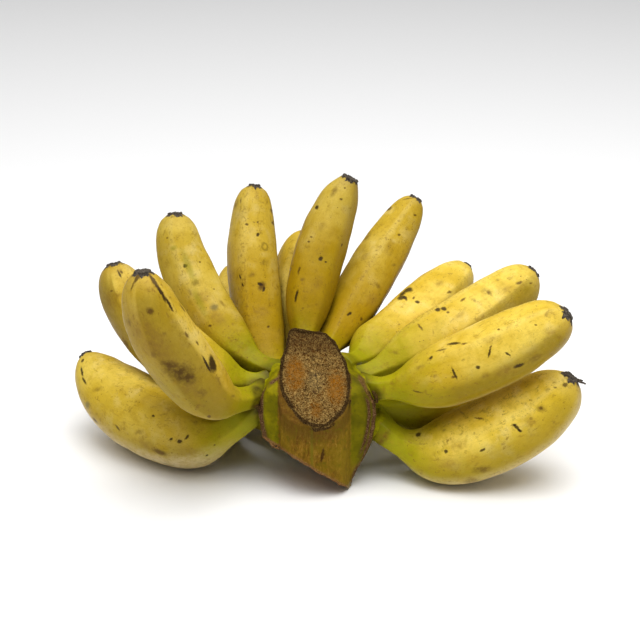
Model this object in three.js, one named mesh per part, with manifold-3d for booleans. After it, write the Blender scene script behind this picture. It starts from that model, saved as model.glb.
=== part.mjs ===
// A hand of small, stubby bananas, still joined to one crown that carries a
// short cut length of the bunch stalk. Millimetres, +Z up. The hand lies on a
// surface at z = 0 with its crown towards -Y; the fingers fan out to the left,
// to the back and to the right, and all of them curve upwards.

import * as THREE from 'three';
import { mergeVertices } from 'three/addons/utils/BufferGeometryUtils.js';
import Module from 'manifold-3d';

const wasm = await Module();
wasm.setup();

// ---------------------------------------------------------------------------
// Driving dimensions
// ---------------------------------------------------------------------------
const GAP = 0.3;            // clearance between pieces that touch
const NECK_R = 5.7;         // radius of a finger's neck, the pedicel
const NECK_R_LOW = 6.7;     // the same on the two big lowest fingers
const TIP_R = 4.5;          // radius of the blunt flower end
const ROOT_LEN = 3;         // length of neck that belongs to the crown
const ROOT_FLARE = [0.8, 2.2];   // how much a root widens into the crown, at the front and behind
const RIDGE = 0.028;        // height of the five ridges, as a share of the radius
const END_AT = 0.6;         // the finger stops this far short of its full length
const END_OUT = 1.5;        // how far the dried flower end stands past the full length

const STALK_X = -1.1, STALK_Y = -8;   // axis of the bunch stalk
const STALK_R = 17.2;                 // radius of the bunch stalk
const STALK_TOP = 60.2;               // height of the upper cut on the axis
const TOP_SLOPE = 1.09;               // rise of the upper cut towards the back
// lower cut of the stalk: z = LOW_A + LOW_X x + LOW_Y y
const LOW_A = 5.1, LOW_X = -0.663, LOW_Y = -0.43;

const CUSHION = { x: 0.6, y: -6, z: 36, rx: 28.5, ry: 25, rz: 26.5, power: 2.8 };  // crown tissue behind the stalk
const WING_FRONT = -11.5;   // front face of the wings at the stalk
const WING_BACK = -2;       // back of the wings' rim

const SIDES = 10;           // sides of a finger
const CENTRE_STEPS = 26;    // stations along a finger's centre line
const RING_AT = [0.10, 0.14, 0.18, 0.23, 0.30, 0.40, 0.53, 0.66, 0.77, 0.86, 0.925, 0.97];
const ROOT_BACK = [7, 12];  // how far a root runs back into the crown, at the front and behind

// name, base x, y, z, heading about +Z from +X, rise of the base, turn spread
// over the whole length, extra turn near the base, extra turn near the tip,
// roll of the bending plane (all degrees), length, largest radius, fullness of
// the shoulder and of the tip (1 is average, less is fuller), position of the
// ridges about the finger (degrees)
const FINGERS = [
  ['finger_right_low', 34.65, -2.86, 26.36, -5.73, -34.60, 42.99, 40.49, 8.63, 1.81, 111.44, 19.83, 0.969, 1.225, -19],
  ['finger_right_mid', 28.27, -3.30, 50.29, -9.01, 8.90, 21.57, 8.66, 0.00, 5.39, 107.32, 16.96, 0.849, 1.160, -22],
  ['finger_right_high', 22.78, 7.15, 52.05, 25.46, 11.36, 24.98, -1.43, 2.77, -5.57, 111.85, 16.45, 0.847, 1.233, -20],
  ['finger_right_rear', 16.29, 14.00, 56.03, 61.18, -11.69, 27.29, 18.69, -2.61, -25.28, 113.01, 16.06, 1.138, 1.491, 31],
  ['finger_rear_right', 0.30, 19.00, 52.75, 73.29, 8.77, 34.19, 8.90, 14.76, -30.00, 130.85, 13.80, 1.800, 1.436, -14],
  ['finger_rear_centre', -5.44, 18.66, 55.35, 95.52, 25.41, 51.12, 10.29, 4.49, -29.99, 110.80, 13.80, 1.800, 1.623, 10],
  ['finger_rear_left', -14.45, 16.21, 42.33, 118.18, 11.32, 34.73, 29.04, 3.16, -12.61, 123.53, 14.10, 1.359, 1.411, 19],
  ['finger_left_high', -22.25, 7.37, 55.94, 145.75, 6.72, 47.73, 16.94, 8.65, -9.72, 106.58, 14.11, 0.854, 1.151, 10],
  ['finger_left_front', -29.64, -6.16, 49.02, 225.90, 4.27, 25.44, 41.93, 19.05, -7.62, 110.59, 15.34, 1.334, 1.367, -7],
  ['finger_left_mid', -25.86, 1.96, 52.01, 182.44, -3.79, 43.02, 28.77, 24.00, 7.54, 89.77, 14.72, 0.781, 1.000, 0],
  ['finger_left_outer', -24.88, 9.28, 43.37, 155.29, -13.60, 52.14, 18.19, 13.69, -7.77, 121.43, 15.25, 1.446, 1.062, -10],
  ['finger_left_low', -33.45, -7.28, 39.53, 168.67, -46.89, 42.02, 37.93, 12.84, -29.69, 127.88, 20.13, 1.634, 1.704, 22],
  ['finger_under_centre', 0.82, 19.83, 13.91, 109.62, 18.95, 31.82, 18.47, 35.28, -16.95, 123.79, 15.86, 1.099, 1.193, 15],
  ['finger_under_left', -14.92, 16.55, 22.60, 117.94, -25.24, 49.32, 33.90, 25.42, -10.50, 131.14, 15.46, 1.197, 1.018, 5],
  ['finger_right_under', 24.72, 7.72, 36.94, 24.24, -25.83, 39.75, 23.77, -2.75, -1.62, 111.57, 15.22, 1.019, 1.000, -20],
  ['finger_under_right', 10.74, 18.52, 29.22, 70.75, -39.66, 51.29, 24.70, 10.99, 3.74, 111.90, 15.57, 1.176, 1.004, 36],
  ['finger_left_under', -29.52, 14.96, 30.72, 142.49, -42.87, 55.80, 32.41, 21.44, -23.20, 134.48, 14.90, 1.236, 1.000, 36],
];

// outline of the crown's wings, seen from the front: x, z
const WINGS = [
  [-20.6, 60.6], [-25.1, 55.5], [-27.4, 50.5], [-27.9, 44.0], [-27.3, 37.5], [-26.0, 31.3],
  [-21.7, 23.8], [-10.8, 16.0], [0.5, 8.0], [11.0, 1.0], [17.0, 0.6],
  [19.6, 8.5], [23.1, 16.4], [26.1, 23.3], [29.0, 33.0], [29.7, 41.0], [29.0, 46.0],
  [25.2, 53.0], [21.5, 57.0], [16.5, 60.0],
];

const SHIFT = new THREE.Vector3(-0.34, -31.66, 0.00);   // puts the footprint's centre on the origin

// ---------------------------------------------------------------------------
// Helpers
// ---------------------------------------------------------------------------
const rad = THREE.MathUtils.degToRad;

// monotone cubic through (x, y) knots
function smoothCurve(xs, ys) {
  const n = xs.length, h = [], d = [], m = new Array(n).fill(0);
  for (let i = 0; i < n - 1; i++) { h.push(xs[i + 1] - xs[i]); d.push((ys[i + 1] - ys[i]) / h[i]); }
  for (let i = 1; i < n - 1; i++) {
    if (d[i - 1] * d[i] > 0) {
      const w1 = 2 * h[i] + h[i - 1], w2 = h[i] + 2 * h[i - 1];
      m[i] = (w1 + w2) / (w1 / d[i - 1] + w2 / d[i]);
    }
  }
  m[0] = d[0]; m[n - 1] = d[n - 2];
  return (x) => {
    const c = Math.min(Math.max(x, xs[0]), xs[n - 1]);
    let i = 0;
    while (i < n - 2 && c > xs[i + 1]) i++;
    const t = (c - xs[i]) / h[i], t2 = t * t, t3 = t2 * t;
    return (2 * t3 - 3 * t2 + 1) * ys[i] + (t3 - 2 * t2 + t) * h[i] * m[i]
      + (-2 * t3 + 3 * t2) * ys[i + 1] + (t3 - t2) * h[i] * m[i + 1];
  };
}

const swell = smoothCurve([0, 0.05, 0.10, 0.15, 0.20, 0.27, 0.36, 0.48, 0.60, 1.0],
  [0.0001, 0.0001, 0.04, 0.20, 0.46, 0.74, 0.92, 0.99, 1.0, 1.0]);
const taper = smoothCurve([0, 0.60, 0.72, 0.82, 0.90, 0.95, 0.98, 1.0],
  [1, 1, 0.955, 0.84, 0.655, 0.43, 0.21, 0.0001]);

function smooth(a, b, x) {
  const s = Math.min(Math.max((x - a) / (b - a), 0), 1);
  return s * s * (3 - 2 * s);
}

// centre line and thickness of one finger
function finger(row) {
  const [name, x, y, z, heading, rise, turn, baseTurn, tipTurn, roll, length, radius, shoulder, tip, ridges] = row;
  const a = rad(heading), e = rad(rise), ro = rad(roll);
  const out = new THREE.Vector3(Math.cos(a) * Math.cos(e), Math.sin(a) * Math.cos(e), Math.sin(e));
  const side = new THREE.Vector3(-Math.sin(a), Math.cos(a), 0);
  const up = new THREE.Vector3().crossVectors(out, side);
  if (up.z < 0) up.negate();
  up.multiplyScalar(Math.cos(ro)).addScaledVector(side, Math.sin(ro));
  const across = new THREE.Vector3().crossVectors(out, up).normalize();
  const angle = (t) => rad(turn * t + baseTurn * smooth(0.03, 0.42, t) + tipTurn * smooth(0.68, 1, t));
  const along = (t) => out.clone().multiplyScalar(Math.cos(angle(t))).addScaledVector(up, Math.sin(angle(t)));
  const stations = [new THREE.Vector3(x, y, z)];
  for (let i = 1; i < CENTRE_STEPS; i++) {
    const d = along((i - 1) / (CENTRE_STEPS - 1)).add(along(i / (CENTRE_STEPS - 1))).multiplyScalar(0.5 * length / (CENTRE_STEPS - 1));
    stations.push(stations[i - 1].clone().add(d));
  }
  const last = along(1);
  const neck = name.endsWith('_low') ? NECK_R_LOW : NECK_R;
  const at = (s) => {                       // s in millimetres from the base
    const f = s / length * (CENTRE_STEPS - 1);
    if (f <= 0) return stations[0].clone().addScaledVector(along(0), s);
    if (f >= CENTRE_STEPS - 1) return stations[CENTRE_STEPS - 1].clone().addScaledVector(last, s - length);
    const i = Math.floor(f);
    return stations[i].clone().lerp(stations[i + 1], f - i);
  };
  const tangent = (s) => along(Math.min(Math.max(s / length, 0), 1));
  const thickness = (s) => {
    const t = s / length;
    return t < 0.6 ? neck + (radius - neck) * Math.pow(swell(t), shoulder)
      : TIP_R + (radius - TIP_R) * Math.pow(taper(t), tip);
  };
  return { name, length, at, tangent, across, thickness, ridges: rad(ridges), forward: y < 5 };
}

// a turned solid (radius, height pairs, both ends on the axis) bent along a finger
function bend(f, profile, { ridged = true, sides = SIDES } = {}) {
  const g = new THREE.LatheGeometry(profile.map(([r, s]) => new THREE.Vector2(r, s)), sides);
  g.deleteAttribute('normal');
  g.deleteAttribute('uv');
  const p = g.getAttribute('position');
  for (let i = 0; i < p.count; i++) {
    const x = p.getX(i), s = p.getY(i), z = p.getZ(i);
    const phi = Math.atan2(x, z);
    const k = ridged ? 1 + RIDGE * Math.cos(5 * phi) : 1;
    const a = phi + f.ridges, r = Math.hypot(x, z) * k;
    const t = f.tangent(s), n = new THREE.Vector3().crossVectors(f.across, t);
    const q = f.at(s).addScaledVector(f.across, r * Math.sin(a)).addScaledVector(n, r * Math.cos(a));
    p.setXYZ(i, q.x, q.y, q.z);
  }
  return g;
}

function solid(geometry) {
  const g = geometry.clone();
  for (const key of Object.keys(g.attributes)) if (key !== 'position') g.deleteAttribute(key);
  const m = mergeVertices(g, 1e-4);
  const ix = m.index.array, keep = [];
  for (let i = 0; i < ix.length; i += 3) {
    if (ix[i] !== ix[i + 1] && ix[i + 1] !== ix[i + 2] && ix[i] !== ix[i + 2]) keep.push(ix[i], ix[i + 1], ix[i + 2]);
  }
  return new wasm.Manifold(new wasm.Mesh({
    numProp: 3,
    vertProperties: new Float32Array(m.getAttribute('position').array),
    triVerts: new Uint32Array(keep),
  }));
}

function geometryOf(body) {
  const mesh = body.getMesh();
  const g = new THREE.BufferGeometry();
  g.setAttribute('position', new THREE.BufferAttribute(new Float32Array(mesh.vertProperties), 3));
  g.setIndex(new THREE.BufferAttribute(new Uint32Array(mesh.triVerts), 1));
  g.computeVertexNormals();
  return g;
}

// the biggest connected lump of a cut solid
function mainLump(body) {
  const lumps = body.decompose();
  lumps.sort((a, b) => b.volume() - a.volume());
  return lumps[0];
}

// everything below z = c0 + cx x + cy y, as a big slanted block
function below(c0, cx, cy) {
  const g = new THREE.BoxGeometry(400, 400, 200);
  const p = g.getAttribute('position');
  for (let i = 0; i < p.count; i++) {
    p.setZ(i, p.getZ(i) - 100 + c0 + cx * p.getX(i) + cy * p.getY(i));
  }
  return solid(g);
}

// ---------------------------------------------------------------------------
// Crown and stalk
// ---------------------------------------------------------------------------
function rootOf(f, grow) {
  const back = ROOT_BACK[f.forward ? 0 : 1], flare = ROOT_FLARE[f.forward ? 0 : 1];
  const profile = [[0, -back - grow]];
  for (const u of [0, 0.6, 1]) {
    const s = -back + u * (ROOT_LEN + back);
    profile.push([f.thickness(Math.max(s, 0)) + flare * (1 - u) * (1 - u) + grow, u === 1 ? s + grow : (u === 0 ? s - grow : s)]);
  }
  profile.push([0, ROOT_LEN + grow]);
  return solid(bend(f, profile, { sides: SIDES }));
}

function crown(fingers, grow) {
  const stalk = new THREE.CylinderGeometry(STALK_R + grow, STALK_R + grow, 130, 28);
  stalk.rotateX(Math.PI / 2);
  stalk.translate(STALK_X, STALK_Y, 50);
  const cushion = new THREE.SphereGeometry(1, 20, 12);
  cushion.rotateX(Math.PI / 2);
  const cp = cushion.getAttribute('position'), pw = CUSHION.power;
  for (let i = 0; i < cp.count; i++) {       // fuller than an ellipsoid
    const k = (Math.abs(cp.getX(i)) ** pw + Math.abs(cp.getY(i)) ** pw + Math.abs(cp.getZ(i)) ** pw) ** (-1 / pw);
    cp.setXYZ(i, cp.getX(i) * k, cp.getY(i) * k, cp.getZ(i) * k);
  }
  cushion.scale(CUSHION.rx + grow, CUSHION.ry + grow, CUSHION.rz + grow);
  cushion.translate(CUSHION.x, CUSHION.y, CUSHION.z);
  const outline = new THREE.Shape(WINGS.map(([x, z]) => new THREE.Vector2(x * (1 + grow / 28), z)));
  const wings = new THREE.ExtrudeGeometry(outline, { depth: WING_BACK - WING_FRONT + grow, bevelEnabled: false });
  wings.rotateX(Math.PI / 2);               // shape x, y -> x, z; depth towards -y
  wings.translate(0, WING_BACK + grow, 0);
  const frontOfWings = new THREE.BoxGeometry(200, 100, 300);
  frontOfWings.translate(0, WING_FRONT - 50, 50);

  let back = solid(cushion).subtract(solid(frontOfWings));
  back = back.add(solid(wings));
  let body = solid(stalk).add(back).subtract(below(LOW_A - grow, LOW_X, LOW_Y));
  for (const f of fingers) body = body.add(rootOf(f, grow));
  // upper cut: slanted, facing forwards and up
  const top = new THREE.BoxGeometry(200, 200, 200);
  const tp = top.getAttribute('position');
  for (let i = 0; i < tp.count; i++) {
    tp.setZ(i, tp.getZ(i) + 100 + STALK_TOP + grow * 1.4 + TOP_SLOPE * (tp.getY(i) - STALK_Y));
  }
  body = body.subtract(solid(top));
  body = body.subtract(below(grow ? -grow : 0, 0, 0));
  return mainLump(body);
}

// ---------------------------------------------------------------------------
// Assembly
// ---------------------------------------------------------------------------
const skin = new THREE.MeshStandardMaterial({ color: 0xd9ad2c, roughness: 0.5, metalness: 0 });
const green = new THREE.MeshStandardMaterial({ color: 0x8a7a2c, roughness: 0.7, metalness: 0 });
const dried = new THREE.MeshStandardMaterial({ color: 0x3b3733, roughness: 0.9, metalness: 0 });

const group = new THREE.Group();
const place = (name, body, material) => {
  const mesh = new THREE.Mesh(geometryOf(body), material);
  mesh.name = name;
  mesh.position.copy(SHIFT);
  group.add(mesh);
};

const fingers = FINGERS.map(finger);
place('crown_stalk', crown(fingers, 0), green);
const crownSpace = crown(fingers, GAP);

function body(f, grow) {
  const end = f.length - END_AT;
  const profile = [[0, ROOT_LEN + GAP - grow], [f.thickness(ROOT_LEN) + grow, ROOT_LEN + GAP - grow]];
  for (const t of RING_AT) profile.push([f.thickness(t * f.length) + grow, t * f.length]);
  profile.push([f.thickness(f.length - 1.5) + grow, f.length - 1.5], [f.thickness(end) + grow, end + grow], [0, end + grow]);
  return solid(bend(f, profile));
}

const taken = [];
for (const f of fingers) {
  let b = body(f, 0);
  b = b.subtract(crownSpace);
  for (const other of taken) {
    if (b.intersect(other).volume() > 1e-6) b = b.subtract(other);
  }
  b = mainLump(b);
  place(f.name, b, skin);
  taken.push(body(f, GAP));

  const s0 = f.length - END_AT + GAP, s1 = f.length + END_OUT;
  const end = solid(bend(f, [[0, s0], [TIP_R + 0.3, s0], [TIP_R + 0.4, s0 + 0.9], [TIP_R - 0.6, s1], [0, s1 - 0.3]], { ridged: false, sides: 8 }));
  place(f.name.replace('finger', 'end'), end, dried);
}

export default group;
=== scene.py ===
import math

import bpy
import numpy as np
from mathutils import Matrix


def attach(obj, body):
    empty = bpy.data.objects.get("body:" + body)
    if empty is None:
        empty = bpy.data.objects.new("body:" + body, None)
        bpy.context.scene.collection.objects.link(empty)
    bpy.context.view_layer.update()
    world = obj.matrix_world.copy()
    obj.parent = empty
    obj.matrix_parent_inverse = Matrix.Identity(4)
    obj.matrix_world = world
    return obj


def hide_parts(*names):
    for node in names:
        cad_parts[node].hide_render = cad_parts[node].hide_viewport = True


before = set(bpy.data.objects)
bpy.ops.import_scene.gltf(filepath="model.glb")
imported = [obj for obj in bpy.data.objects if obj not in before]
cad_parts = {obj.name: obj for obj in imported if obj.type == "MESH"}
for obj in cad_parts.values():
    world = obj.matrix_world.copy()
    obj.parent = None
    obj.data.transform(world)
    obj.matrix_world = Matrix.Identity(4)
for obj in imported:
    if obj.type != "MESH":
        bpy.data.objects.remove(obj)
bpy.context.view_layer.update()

MM = 0.001

# ---------------------------------------------------------------------------
# Dimensions, millimetres: the same as the solids this look stands for
# ---------------------------------------------------------------------------
SHIFT = np.array([-0.34, -31.66, 0.00])
NECK_R, NECK_R_LOW, TIP_R = 5.7, 6.7, 4.5
STALK_X, STALK_Y = -1.1, -8.0
STALK_TOP, TOP_SLOPE = 60.2, 1.09
LOW_A, LOW_X, LOW_Y = 5.1, -0.663, -0.43
CUSHION = dict(x=0.6, y=-6.0, z=36.0, rx=28.5, ry=25.0, rz=26.5, power=2.8)
STEPS = 26

# name, base x, y, z, heading, rise, turn, extra turn near the base, extra turn
# near the tip, roll, length, radius, shoulder, tip, position of the ridges
FINGERS = [
    ("finger_right_low", 34.65, -2.86, 26.36, -5.73, -34.60, 42.99, 40.49, 8.63, 1.81, 111.44, 19.83, 0.969, 1.225, -19),
    ("finger_right_mid", 28.27, -3.30, 50.29, -9.01, 8.90, 21.57, 8.66, 0.00, 5.39, 107.32, 16.96, 0.849, 1.160, -22),
    ("finger_right_high", 22.78, 7.15, 52.05, 25.46, 11.36, 24.98, -1.43, 2.77, -5.57, 111.85, 16.45, 0.847, 1.233, -20),
    ("finger_right_rear", 16.29, 14.00, 56.03, 61.18, -11.69, 27.29, 18.69, -2.61, -25.28, 113.01, 16.06, 1.138, 1.491, 31),
    ("finger_rear_right", 0.30, 19.00, 52.75, 73.29, 8.77, 34.19, 8.90, 14.76, -30.00, 130.85, 13.80, 1.800, 1.436, -14),
    ("finger_rear_centre", -5.44, 18.66, 55.35, 95.52, 25.41, 51.12, 10.29, 4.49, -29.99, 110.80, 13.80, 1.800, 1.623, 10),
    ("finger_rear_left", -14.45, 16.21, 42.33, 118.18, 11.32, 34.73, 29.04, 3.16, -12.61, 123.53, 14.10, 1.359, 1.411, 19),
    ("finger_left_high", -22.25, 7.37, 55.94, 145.75, 6.72, 47.73, 16.94, 8.65, -9.72, 106.58, 14.11, 0.854, 1.151, 10),
    ("finger_left_front", -29.64, -6.16, 49.02, 225.90, 4.27, 25.44, 41.93, 19.05, -7.62, 110.59, 15.34, 1.334, 1.367, -7),
    ("finger_left_mid", -25.86, 1.96, 52.01, 182.44, -3.79, 43.02, 28.77, 24.00, 7.54, 89.77, 14.72, 0.781, 1.000, 0),
    ("finger_left_outer", -24.88, 9.28, 43.37, 155.29, -13.60, 52.14, 18.19, 13.69, -7.77, 121.43, 15.25, 1.446, 1.062, -10),
    ("finger_left_low", -33.45, -7.28, 39.53, 168.67, -46.89, 42.02, 37.93, 12.84, -29.69, 127.88, 20.13, 1.634, 1.704, 22),
    ("finger_under_centre", 0.82, 19.83, 13.91, 109.62, 18.95, 31.82, 18.47, 35.28, -16.95, 123.79, 15.86, 1.099, 1.193, 15),
    ("finger_under_left", -14.92, 16.55, 22.60, 117.94, -25.24, 49.32, 33.90, 25.42, -10.50, 131.14, 15.46, 1.197, 1.018, 5),
    ("finger_right_under", 24.72, 7.72, 36.94, 24.24, -25.83, 39.75, 23.77, -2.75, -1.62, 111.57, 15.22, 1.019, 1.000, -20),
    ("finger_under_right", 10.74, 18.52, 29.22, 70.75, -39.66, 51.29, 24.70, 10.99, 3.74, 111.90, 15.57, 1.176, 1.004, 36),
    ("finger_left_under", -29.52, 14.96, 30.72, 142.49, -42.87, 55.80, 32.41, 21.44, -23.20, 134.48, 14.90, 1.236, 1.000, 36),
]

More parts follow.
